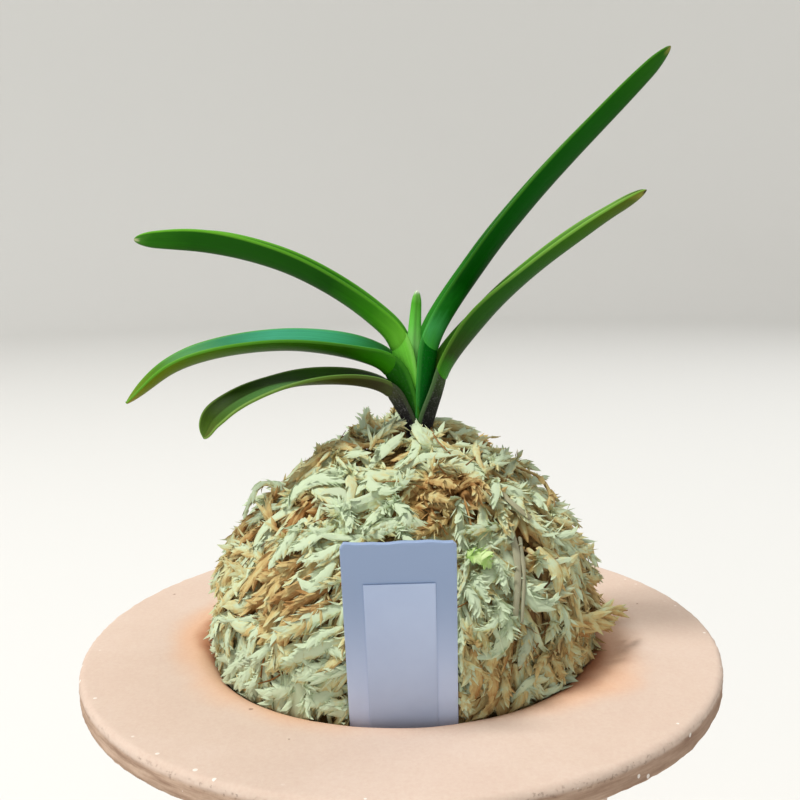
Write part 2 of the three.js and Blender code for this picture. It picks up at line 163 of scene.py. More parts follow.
def mix(material, share, first, second, way="MIX"):
    """Colour between first and second."""
    inputs = {0: share, 6: first, 7: second}
    return node(material, "ShaderNodeMix", inputs, data_type="RGBA", blend_type=way).outputs[2]


def band(material, value, low, high, from_share=0.0, to_share=1.0):
    """Share that eases from from_share at low to to_share at high."""
    inputs = {"Value": value, "From Min": low, "From Max": high, "To Min": from_share, "To Max": to_share}
    made = node(material, "ShaderNodeMapRange", inputs, interpolation_type="SMOOTHSTEP")
    return made.outputs[0]


def place(material):
    return node(material, "ShaderNodeTexCoord", {}).outputs["Object"]


def noise(material, at, scale, detail=3.0, rough=0.55):
    inputs = {"Vector": at, "Scale": scale, "Detail": detail, "Roughness": rough}
    return node(material, "ShaderNodeTexNoise", inputs).outputs[0]


def cells(material, at, scale):
    return node(material, "ShaderNodeTexVoronoi", {"Vector": at, "Scale": scale}, feature="F1")


def stretched(material, at, scale):
    return node(material, "ShaderNodeMapping", {"Vector": at, "Scale": scale}).outputs[0]


def tones(material, value, stops):
    """Colours along a value, as pairs of place and colour."""
    made = node(material, "ShaderNodeValToRGB", {"Fac": value})
    knots = made.color_ramp.elements
    while len(knots) < len(stops):
        knots.new(0.5)
    for knot, (where, tint) in zip(knots, stops):
        knot.position = where
        knot.color = tint
    return made.outputs[0]


def relief(material, height, depth, strength=1.0, under=None):
    """Bump of a given depth in metres."""
    inputs = {"Height": height, "Distance": depth, "Strength": strength}
    if under:
        inputs["Normal"] = under
    return node(material, "ShaderNodeBump", inputs).outputs[0]


cove_top = (FLOOR_RADIUS + COVE_RADIUS, COVE_HEIGHT)
cove = arc((FLOOR_RADIUS, COVE_RADIUS), COVE_RADIUS, -90, 0, 16)
floor = turned("floor", [(0, 0)] + cove + [cove_top], FLOOR_TURNS, closed=False)
floor.data.transform(Matrix.Translation((0, 0, -FLOOR_DROP)))
pale = finish("pale_floor", {"Base Color": colour(226, 226, 224), "Roughness": 0.9})
floor.data.materials.append(pale)

for name, spot, target, size, watts, tint in LAMPS:
    bpy.ops.object.light_add(type="AREA", location=spot)
    lamp = bpy.context.object
    lamp.name = name
    lamp.rotation_euler = (Vector(target) - Vector(spot)).to_track_quat("-Z", "Y").to_euler()
    lamp.data.size = size
    lamp.data.energy = watts
    lamp.data.color = tint

sky = bpy.data.worlds.new("pale_light")
sky.use_nodes = True
sky.node_tree.nodes["Background"].inputs["Color"].default_value = SKY_COLOUR
sky.node_tree.nodes["Background"].inputs["Strength"].default_value = SKY_STRENGTH
bpy.context.scene.world = sky
bpy.context.scene.view_settings.view_transform = "Standard"


# ---- pot ---------------------------------------------------------------------------------------
# One thrown and fired body of fine unglazed clay: a foot ring with a drain hole, a body that widens
# upwards and a broad flat brim with a rounded lip round the mouth. Damp from the moss darkens the lip;
# the darker ring where the lip rounds down into the mouth is partly damp and partly painted shade.
BRIM_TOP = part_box("pot")[1][2]
BRIM_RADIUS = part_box("pot")[1][0]
BRIM_THICKNESS = 5 * MM
BRIM_EDGE_ROUND = 1.3 * MM
BRIM_LOWER_ROUND = 0.8 * MM
MOUTH_RADIUS = 37 * MM
LIP_ROUND = 5.3 * MM
NECK_RADIUS = 45 * MM
NECK_FILLET = 5 * MM
BODY = [(37.6 * MM, 22 * MM), (41.4 * MM, 50 * MM)]
FOOT_RADIUS = 35 * MM
FOOT_RING_WIDTH = 5.5 * MM
FOOT_RING_HEIGHT = 3 * MM
FOOT_ROUND = 1 * MM
FLOOR_TOP = 9 * MM
FLOOR_CORNER = (27 * MM, 13 * MM)
DRAIN_RADIUS = 8.5 * MM
POT_TURNS = 288
CRUMBLE_SIZE = 1.1 * MM
EDGE_CRUMBLE = 0.28 * MM
WAVE_SIZE = 18 * MM
HAND_UNEVENNESS = 0.35 * MM

lip_centre = (MOUTH_RADIUS + LIP_ROUND, BRIM_TOP - LIP_ROUND)
under_brim = BRIM_TOP - BRIM_THICKNESS
ring_inside = FOOT_RADIUS - FOOT_RING_WIDTH
neck_centre = (NECK_RADIUS + NECK_FILLET, under_brim - NECK_FILLET)
lower_edge = (BRIM_RADIUS - BRIM_LOWER_ROUND, under_brim + BRIM_LOWER_ROUND)
upper_edge = (BRIM_RADIUS - BRIM_EDGE_ROUND, BRIM_TOP - BRIM_EDGE_ROUND)

# each straight run starts a little away from the round before it, so that no two points fall together
pot_profile = [
    (ring_inside, 0),
    *arc((FOOT_RADIUS - FOOT_ROUND, FOOT_ROUND), FOOT_ROUND, -90, -10, 4),
    *line((FOOT_RADIUS, FOOT_ROUND), BODY[0], 8),
    *line(BODY[0], BODY[1], 8),
    *line(BODY[1], (NECK_RADIUS, neck_centre[1]), 9),
    *arc(neck_centre, NECK_FILLET, 180, 90, 7),
    *line((neck_centre[0] + 1 * MM, under_brim), (lower_edge[0], under_brim), 8),
    *arc(lower_edge, BRIM_LOWER_ROUND, -90, 0, 5),
    *line((BRIM_RADIUS, lower_edge[1] + 0.4 * MM), (BRIM_RADIUS, upper_edge[1]), 5),
    *arc(upper_edge, BRIM_EDGE_ROUND, 0, 90, 7),
    *line((upper_edge[0] - 0.6 * MM, BRIM_TOP), (lip_centre[0], BRIM_TOP), 18),
    *arc(lip_centre, LIP_ROUND, 90, 180, 12),
    *line((MOUTH_RADIUS, lip_centre[1] - 1 * MM), FLOOR_CORNER, 8),
    FLOOR_CORNER,
    (FLOOR_CORNER[0], FLOOR_TOP),
    (DRAIN_RADIUS, FLOOR_TOP),
    (DRAIN_RADIUS, FOOT_RING_HEIGHT),
    (ring_inside - 0.6 * MM, FOOT_RING_HEIGHT),
]
pot = turned("clay_pot", pot_profile, POT_TURNS)


def roughen(piece, kind, size, depth, region=None):
    """Moves the surface in and out by a solid texture, only where the vertex group region says."""
    texture = bpy.data.textures.new(piece.name + "_" + kind.lower(), kind)
    texture.noise_scale = size
    deselect()
    piece.select_set(True)
    bpy.context.view_layer.objects.active = piece
    bpy.ops.object.modifier_add(type="DISPLACE")
    displace = piece.modifiers[-1]
    displace.texture = texture
    displace.texture_coords = "LOCAL"
    displace.strength = depth
    displace.mid_level = 0.5
    if region:
        displace.vertex_group = region
    bpy.ops.object.modifier_apply(modifier=displace.name)


def near(piece, name, weigh):
    """A vertex group with the weight that weigh gives each vertex's place."""
    group = piece.vertex_groups.new(name=name)
    for vertex in piece.data.vertices:
        weight = weigh(vertex.co)
        if weight > 0:
            group.add([vertex.index], weight, "REPLACE")
    return name


def near_brim_edge(co):
    out = math.hypot(co.x, co.y) - (BRIM_RADIUS - 2.2 * MM)
    return min(1.0, max(0.0, out / (1.6 * MM))) if co.z > under_brim - 1 * MM else 0.0


def above_foot(co):
    return 1.0 if co.z > 6 * MM and math.hypot(co.x, co.y) > 33 * MM else 0.0


roughen(pot, "CLOUDS", WAVE_SIZE, HAND_UNEVENNESS, near(pot, "thrown", above_foot))
roughen(pot, "STUCCI", CRUMBLE_SIZE, EDGE_CRUMBLE, near(pot, "brim_edge", near_brim_edge))

CLAY_PLACES = {
    # where a look of the clay starts and where it is full, in metres: up
    "above_neck": (0.080, 0.089), "side_below": (0.0940, 0.0930), "line_above": (0.0928, 0.0933),
    "line_below": (0.0946, 0.0941),
    # out from the axis
    "damp": (0.0490, 0.0400), "damp_and_shade": (0.0415, 0.0372), "side_beyond": (0.0615, 0.0632),
    "line_beyond": (0.0625, 0.0633), "flecks": (0.0600, 0.0628), "wear": (0.058, 0.063),
    # towards the back, and towards the right
    "in_front": (-0.026, -0.040), "on_right": (0.014, 0.030), "on_left": (-0.026, -0.038),
    "shade_on_right": (0.0, 0.062),
}
DAMP_WANDER = 16 * MM
DAMP_REACH = 4 * MM

clay = finish("unglazed_clay", {"Roughness": 0.88, "Specular IOR Level": 0.2})
at = place(clay)
parts = node(clay, "ShaderNodeSeparateXYZ", {"Vector": at}).outputs
across = maths(clay, "ADD", maths(clay, "POWER", parts[0], 2.0), maths(clay, "POWER", parts[1], 2.0))
radius = maths(clay, "SQRT", across)
body = tones(clay, noise(clay, at, 60.0, 5.0), [
    (0.30, colour(210, 187, 171)),
    (0.50, colour(212, 190, 174)),
    (0.72, colour(215, 194, 179)),
])
# damp reaches furthest out on the right in front and at the left
wander = maths(clay, "MULTIPLY", maths(clay, "SUBTRACT", noise(clay, at, 30.0, 3.0), 0.5), DAMP_WANDER)
damp_edge = maths(clay, "ADD", radius, wander)
above_neck = band(clay, parts[2], *CLAY_PLACES["above_neck"])
in_front = band(clay, parts[1], *CLAY_PLACES["in_front"])
to_right = band(clay, parts[0], *CLAY_PLACES["on_right"])
to_left = band(clay, parts[0], *CLAY_PLACES["on_left"])
reach_out = maths(clay, "SUBTRACT", maths(clay, "MULTIPLY", to_right, 0.6), in_front)
reach_out = maths(clay, "ADD", reach_out, maths(clay, "MULTIPLY", to_left, 0.25))
damp_edge = maths(clay, "SUBTRACT", damp_edge, maths(clay, "MULTIPLY", reach_out, DAMP_REACH))
damp = maths(clay, "MULTIPLY", band(clay, damp_edge, *CLAY_PLACES["damp"]), above_neck)
body = mix(clay, maths(clay, "MULTIPLY", damp, 0.8), body, colour(224, 178, 144))
# painted shade: the ring inside the lip, where it rounds into the mouth, is painted darker, partly damp
# clay and partly shade
damp_and_shade = maths(clay, "MULTIPLY", band(clay, damp_edge, *CLAY_PLACES["damp_and_shade"]), above_neck)
body = mix(clay, maths(clay, "MULTIPLY", damp_and_shade, 0.9), body, colour(178, 120, 86))
# painted shade: the brim's outer side is painted darker than its top, partly streaky weathering and partly
# shade, and darker still towards the right, which is painted shade only
side_below = band(clay, parts[2], *CLAY_PLACES["side_below"])
side = maths(clay, "MULTIPLY", side_below, band(clay, radius, *CLAY_PLACES["side_beyond"]))
streaks = noise(clay, stretched(clay, at, (90.0, 90.0, 900.0)), 1.0, 5.0, 0.65)
side_shade_and_streaks = tones(clay, streaks, [
    (0.32, colour(132, 100, 80)),
    (0.46, colour(168, 138, 116)),
    (0.62, colour(194, 166, 144)),
])
right_side_shade = band(clay, parts[0], *CLAY_PLACES["shade_on_right"])
side_shade_and_streaks = mix(clay, maths(clay, "MULTIPLY", right_side_shade, 0.5), side_shade_and_streaks, colour(128, 96, 76))
body = mix(clay, maths(clay, "MULTIPLY", side, 0.9), body, side_shade_and_streaks)


def specks(material, at, scale, share, reach):
    """Small separate spots: share of cells that have one, and how much of a cell it fills."""
    spots = cells(material, at, scale)
    pick = node(material, "ShaderNodeSeparateColor", {0: spots.outputs["Color"]}).outputs[0]
    size = band(material, pick, 1 - share, 1.0, -0.02, reach)
    return band(material, maths(material, "SUBTRACT", spots.outputs["Distance"], size), 0.0, -0.05)


pores = specks(clay, at, 380.0, 0.06, 0.17)
body = mix(clay, maths(clay, "MULTIPLY", pores, 0.6), body, colour(150, 112, 92))
line_above = band(clay, parts[2], *CLAY_PLACES["line_above"])
rim_line = maths(clay, "MULTIPLY", line_above, band(clay, parts[2], *CLAY_PLACES["line_below"]))
rim_line = maths(clay, "MULTIPLY", rim_line, band(clay, radius, *CLAY_PLACES["line_beyond"]))
pits = maths(clay, "MULTIPLY", band(clay, noise(clay, at, 1300.0, 3.0, 0.7), 0.59, 0.66), rim_line)
body = mix(clay, maths(clay, "MULTIPLY", pits, 0.22), body, colour(150, 116, 96))
at_edge = band(clay, radius, *CLAY_PLACES["flecks"])
flecks = maths(clay, "MULTIPLY", specks(clay, at, 560.0, 0.22, 0.26), at_edge)
body = mix(clay, maths(clay, "MULTIPLY", flecks, 0.7), body, colour(252, 246, 240))
grain = noise(clay, at, 1500.0, 3.0, 0.7)
grain_tone = tones(clay, grain, [(0.3, (0.44, 0.44, 0.44, 1)), (0.7, (0.55, 0.55, 0.55, 1))])
body = mix(clay, 0.5, body, grain_tone, "OVERLAY")
dents = relief(clay, maths(clay, "ADD", pores, maths(clay, "MULTIPLY", pits, 0.5)), -0.25 * MM, 0.9)
sandy = relief(clay, grain, 0.05 * MM, 0.5, dents)
wear = band(clay, radius, *CLAY_PLACES["wear"], 0.15, 0.7)
worn = relief(clay, noise(clay, at, 420.0, 4.0), 0.16 * MM, wear, sandy)
into_shader(clay, Base_Color=body, Normal=worn)
pot.data.materials.append(clay)
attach(pot, "root")
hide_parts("pot")


# ---- moss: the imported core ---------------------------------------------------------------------
# Dried bog moss wrapped into a tall dome round the roots and pressed into the pot. The core is what
# shows dark between the strands; it fills the pot down to its floor.
DOME_CENTRE = np.array((0.6 * MM, 0.0, BRIM_TOP))
DOME_OUTLINE = np.array([
    # radius and height above the brim, from the crown to below the lip
    (0, 41.6), (7.5, 41.3), (15.5, 38.9), (23.5, 33.6), (30, 26), (34.7, 17.2), (37.7, 8.2),
    (39.3, 1.5), (38.6, -2.5), (36.2, -9),
]) * MM
DOME_FIT = 5
CORE_DEPTH = 3.4 * MM
CORE_FILLING = [(34.6 * MM, -9 * MM), (28.4 * MM, -80 * MM), (25.5 * MM, -85 * MM)]
CORE_TURNS = 120
CORE_ROWS = 44
CORE_LOWEST = math.radians(-12)
CORE_LEAN = 0.6
CORE_LUMP_SIZE = 5 * MM
CORE_LUMP_DEPTH = 3 * MM

dome_rise = np.arctan2(DOME_OUTLINE[:, 1], DOME_OUTLINE[:, 0])
dome_reach = np.polyfit(dome_rise, np.hypot(DOME_OUTLINE[:, 0], DOME_OUTLINE[:, 1]), DOME_FIT)


def reach_at(rise):
    """Distance from the dome's centre to its surface at an angle above the brim."""
    return np.polyval(dome_reach, np.clip(rise, dome_rise.min(), dome_rise.max()))


core_rises = np.linspace(math.pi / 2, CORE_LOWEST, CORE_ROWS)
core_reach = reach_at(core_rises) - CORE_DEPTH
core_profile = list(zip(core_reach * np.cos(core_rises), BRIM_TOP + core_reach * np.sin(core_rises)))
core_profile += [(r, BRIM_TOP + h) for r, h in CORE_FILLING]
core_profile.append((0.0, BRIM_TOP + CORE_FILLING[-1][1]))
core = turned("moss_core", core_profile, CORE_TURNS, closed=False)
core.data.transform(Matrix.Translation((DOME_CENTRE[0] * CORE_LEAN, 0, 0)))


def above_lip(co):
    return min(1.0, max(0.0, (co.z - BRIM_TOP - 2 * MM) / (4 * MM)))


roughen(core, "CLOUDS", CORE_LUMP_SIZE, CORE_LUMP_DEPTH, near(core, "dome", above_lip))

moss_dark = finish("moss_in_the_deep", {"Roughness": 0.95, "Specular IOR Level": 0.1})
deep_at = place(moss_dark)
deep_tone = tones(moss_dark, noise(moss_dark, deep_at, 420.0, 5.0, 0.7), [
    (0.35, colour(112, 88, 48)),
    (0.52, colour(152, 124, 74)),
    (0.70, colour(188, 162, 106)),
])
deep_bump = relief(moss_dark, noise(moss_dark, deep_at, 700.0, 4.0, 0.7), 0.8 * MM, 1.0)
into_shader(moss_dark, Base_Color=deep_tone, Normal=deep_bump)
core.data.materials.append(moss_dark)
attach(core, "root")
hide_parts("moss_mound")


def marked(mesh, title, values, domain="POINT"):
    """Numbers or vectors that the mesh carries at its corners, for the shader to read."""
    values = np.asarray(values, np.float32)
    kind, way = ("FLOAT", "value") if values.ndim == 1 else ("FLOAT_VECTOR", "vector")
    mesh.attributes.new(title, kind, domain).data.foreach_set(way, values.ravel())


def carried(material, name, output="Fac"):
    """A value that the mesh carries at its corners."""
    return node(material, "ShaderNodeAttribute", {}, attribute_name=name).outputs[output]


# ---- moss: what one strand is made of ----------------------------------------------------------
# A branch of bog moss is a soft thin stem closed round by papery pointed leaves that overlap and stand
# off it raggedly. Shapes lie along x from 0 to 1, with width on y and thickness on z in metres.
def shape_of(piece):
    """The corners and faces of a modelled piece, which is then removed."""
    corners = np.array([v.co[:] for v in piece.data.vertices])
    faces = [tuple(f.vertices) for f in piece.data.polygons]
    bpy.data.objects.remove(piece)
    return corners, faces


def moss_leaf():
    """One leaf, 1 long and 1 wide: a thin six-sided blade, widest below its middle and pointed, with
    its sides bent down and its tip bent up."""
    deselect()
    bpy.ops.mesh.primitive_cone_add(
        vertices=6, radius1=0.5, depth=0.2, end_fill_type="TRIFAN", rotation=(0, 0, math.pi / 2),
    )
    leaf = bpy.context.object
    bpy.ops.object.transform_apply(location=True, rotation=True, scale=True)
    corners, faces = shape_of(leaf)
    x, y, z = corners.T
    x = x + 0.5
    y = y * np.interp(x, [0, 0.25, 0.75, 1], [1, 1.15, 0.86, 1])
    x = np.interp(x, [0, 0.25, 0.5, 0.75, 1], [0, 0.22, 0.42, 0.60, 1])
    z = 0.35 * z - 0.5 * y ** 2 + 0.25 * x ** 2
    return np.stack([x, y, z], -1), faces


def rod(sides, rings):
    """A bar along x from 0 to 1 with closed ends, drawn out ring by ring."""
    deselect()
    bpy.ops.mesh.primitive_circle_add(
        vertices=sides, radius=0.5, fill_type="NGON", rotation=(0, math.pi / 2, 0),
    )
    bar = bpy.context.object
    bpy.ops.object.transform_apply(location=True, rotation=True, scale=True)
    bpy.ops.object.mode_set(mode="EDIT")
    bpy.ops.mesh.select_all(action="SELECT")
    for _ in range(rings):
        bpy.ops.mesh.extrude_region_move(TRANSFORM_OT_translate={"value": (1 / rings, 0, 0)})
    bpy.ops.mesh.select_all(action="SELECT")
    bpy.ops.mesh.normals_make_consistent(inside=False)
    bpy.ops.object.mode_set(mode="OBJECT")
    return shape_of(bar)


def turn_about(axis, angle):
    return np.array(Matrix.Rotation(angle, 3, axis))


def joined(shapes):
    """Several shapes as one, of which only the first is smooth. The third part of a shape holds for each
    corner how near it is to a leaf's tip, how far it is along the strand and how far round it."""
    corners = []
    faces = []
    marks = []
    count = 0
    for part, part_faces, part_marks in shapes:
        corners.append(part)
        marks.append(part_marks)
        faces += [tuple(i + count for i in f) for f in part_faces]
        count += len(part)
    soft = np.arange(len(faces)) < len(shapes[0][1])
    return np.concatenate(corners), faces, np.concatenate(marks), soft


LEAF_CORNERS, LEAF_FACES = moss_leaf()
GOLDEN_TURN = math.pi * (3 - math.sqrt(5))
BODY_TIP = 0.12


def body_of(rng, sides, rings, length, width, flat, root):
    """The closed leaves of a strand as one soft bar that swells and thins along its length."""
    corners, faces = rod(sides, rings)
    station = np.round(corners[:, 0] * rings).astype(int)
    shares = np.arange(rings + 1) / rings
    swell = root + (1 - root) * np.sin(np.clip(shares / 0.7, 0, 1) * math.pi / 2)
    swell = swell * (1 - (1 - BODY_TIP) * np.clip((shares - 0.5) / 0.5, 0, 1) ** 2.2)
    swell = swell * rng.uniform(0.86, 1.12, rings + 1)
    angle = np.arctan2(corners[:, 2], corners[:, 1])
    corners[:, 1] *= width * swell[station]
    corners[:, 2] *= width * flat * swell[station]
    marks = np.stack([0.30 + 0.35 * corners[:, 0], corners[:, 0] * length, angle * width / 2], -1)
    return corners, faces, marks, np.interp(np.linspace(0, 1, 101), shares, swell)


def plume(rng, leaves, length, width, flat, leaf_length, leaf_width, splay, edge, sides, rings):
    """A strand: its body and the leaves that close round it. splay is how far they stand off in
    degrees, mostly and at most; edge is how far they gather at the strand's two edges."""
    corners, faces, marks, swell = body_of(rng, sides, rings, length, width, flat, 0.45)
    shapes = [(corners, faces, marks)]
    for i in range(leaves):
        share = np.clip((i + 0.5 + rng.uniform(-1.2, 1.2)) / leaves, 0, 1)
        angle = i * GOLDEN_TURN + rng.uniform(-0.9, 0.9)
        angle -= edge * math.sin(2 * angle)
        half = width / 2 * swell[int(share * 100)] * 0.8
        size = rng.uniform(0.65, 1.3) * (1 - 0.25 * share)
        tilt = math.radians(splay[0] + (splay[1] - splay[0]) * rng.uniform(0, 1) ** 3)
        one = LEAF_CORNERS * (leaf_length * size, leaf_width * size, leaf_width * size)
        marks = np.stack([LEAF_CORNERS[:, 0], share * length + one[:, 0], i * MM + one[:, 1]], -1)
        one = one @ turn_about("Z", rng.uniform(-0.3, 0.3)).T
        one = one @ turn_about("Y", -tilt).T
        one = one @ turn_about("X", angle - math.pi / 2).T
        one[:, 1] += half * math.cos(angle)
        one[:, 2] += half * flat * math.sin(angle)
        one[:, 0] = one[:, 0] / length + share * (1 - 0.6 * leaf_length / length)
        shapes.append((one, LEAF_FACES, marks))
    return joined(shapes)


def stick(rng, width, rings):
    """A bare ribbed stem, a little kinked."""
    corners, faces = rod(5, rings)
    station = np.round(corners[:, 0] * rings).astype(int)
    grow = rng.uniform(0.75, 1.15, rings + 1)
    sway = np.cumsum(rng.uniform(-0.12, 0.12, rings + 1)) * width
    marks = np.stack([np.full(len(corners), 0.4), corners[:, 0] * 14 * MM, corners[:, 1] * width], -1)
    corners[:, 1] = corners[:, 1] * width * grow[station] + sway[station]
    corners[:, 2] *= 0.55 * width * grow[station]
    return joined([(corners, faces, marks)])


def tuft(rng, leaves, leaf_length, leaf_width):
    """The leafy head of a shoot: leaves that open out from one point."""
    length = 2.4 * leaf_length
    corners, faces, marks, _ = body_of(rng, 6, 4, length, 1.6 * MM, 0.9, 0.6)
    corners[:, 0] *= 0.6
    shapes = [(corners, faces, marks)]
    for i in range(leaves):
        share = (i + 0.5) / leaves
        size = rng.uniform(0.7, 1.25) * (1.1 - 0.35 * share)
        one = LEAF_CORNERS * (leaf_length * size, leaf_width * size, leaf_width * size)
        marks = np.stack([LEAF_CORNERS[:, 0], one[:, 0], i * MM + one[:, 1]], -1)
        one = one @ turn_about("Y", -math.radians(6 + 60 * share + rng.uniform(-8, 8))).T
        one = one @ turn_about("X", i * GOLDEN_TURN).T
        one[:, 0] = one[:, 0] / length + 0.40 + 0.20 * (1 - share)
        shapes.append((one, LEAF_FACES, marks))
    return joined(shapes)


# ---- moss: strands laid over the dome ----------------------------------------------------------
# Strands lie in layers over the core. On the left of the label they are combed aside to the left, on
# the right and behind they hang, and on the crown they lie all ways. None enters the pot or label.
STEPS = 13
PATCHES = [
    # tone where the moss is much paler or browner: azimuth, elevation and size in degrees, tone
    (-104, 56, 13, 0.02), (-128, 58, 9, 0.06), (-109, 41, 10, 0.03), (-150, 46, 8, 0.10),
    (-110, 80, 12, 0.06), (-147, 9, 10, 0.03), (-119, 2, 9, 0.04), (-117, 19, 8, 0.05),
    (-62, 28, 12, 0.08), (-53, 47, 8, 0.18), (-30, 68, 10, 0.16), (-84, 46, 8, 0.14),
    (-129, 27, 12, 0.62), (-137, 50, 5, 0.66), (-165, 66, 9, 0.50), (-165, 38, 9, 0.60),
    (-163, 22, 9, 0.38), (-68, 60, 7, 0.56), (-57, 56, 6, 0.62), (-18, 14, 12, 0.56),
    (-32, 8, 10, 0.50), (-62, 5, 8, 0.55), (-38, 27, 8, 0.36), (-28, 48, 9, 0.36),
    (-136, 34, 5, 0.66), (-47, 14, 7, 0.34), (-100, 4, 6, 0.45), (-12, 38, 10, 0.34),
    (20, 20, 20, 0.20), (55, 35, 18, 0.60), (80, 12, 18, 0.12), (100, 50, 20, 0.45),
    (130, 18, 18, 0.58), (150, 42, 16, 0.10), (165, 10, 14, 0.32), (75, 72, 14, 0.24),
    (35, 60, 14, 0.35),
]
GREY_PATCHES = [(-50, 33, 7), (-44, 20, 7), (-12, 17, 8), (-138, 6, 7), (64, 24, 12), (118, 30, 10)]
PLAIN_TONE = 0.24
LUMPS = 90
LOW_INSET = 2.4 * MM
HOLLOWS = [(-178, 56, 14, -3.0), (-160, 68, 12, -1.5), (10, 66, 12, -1.2), (-165, 30, 9, 1.2)]
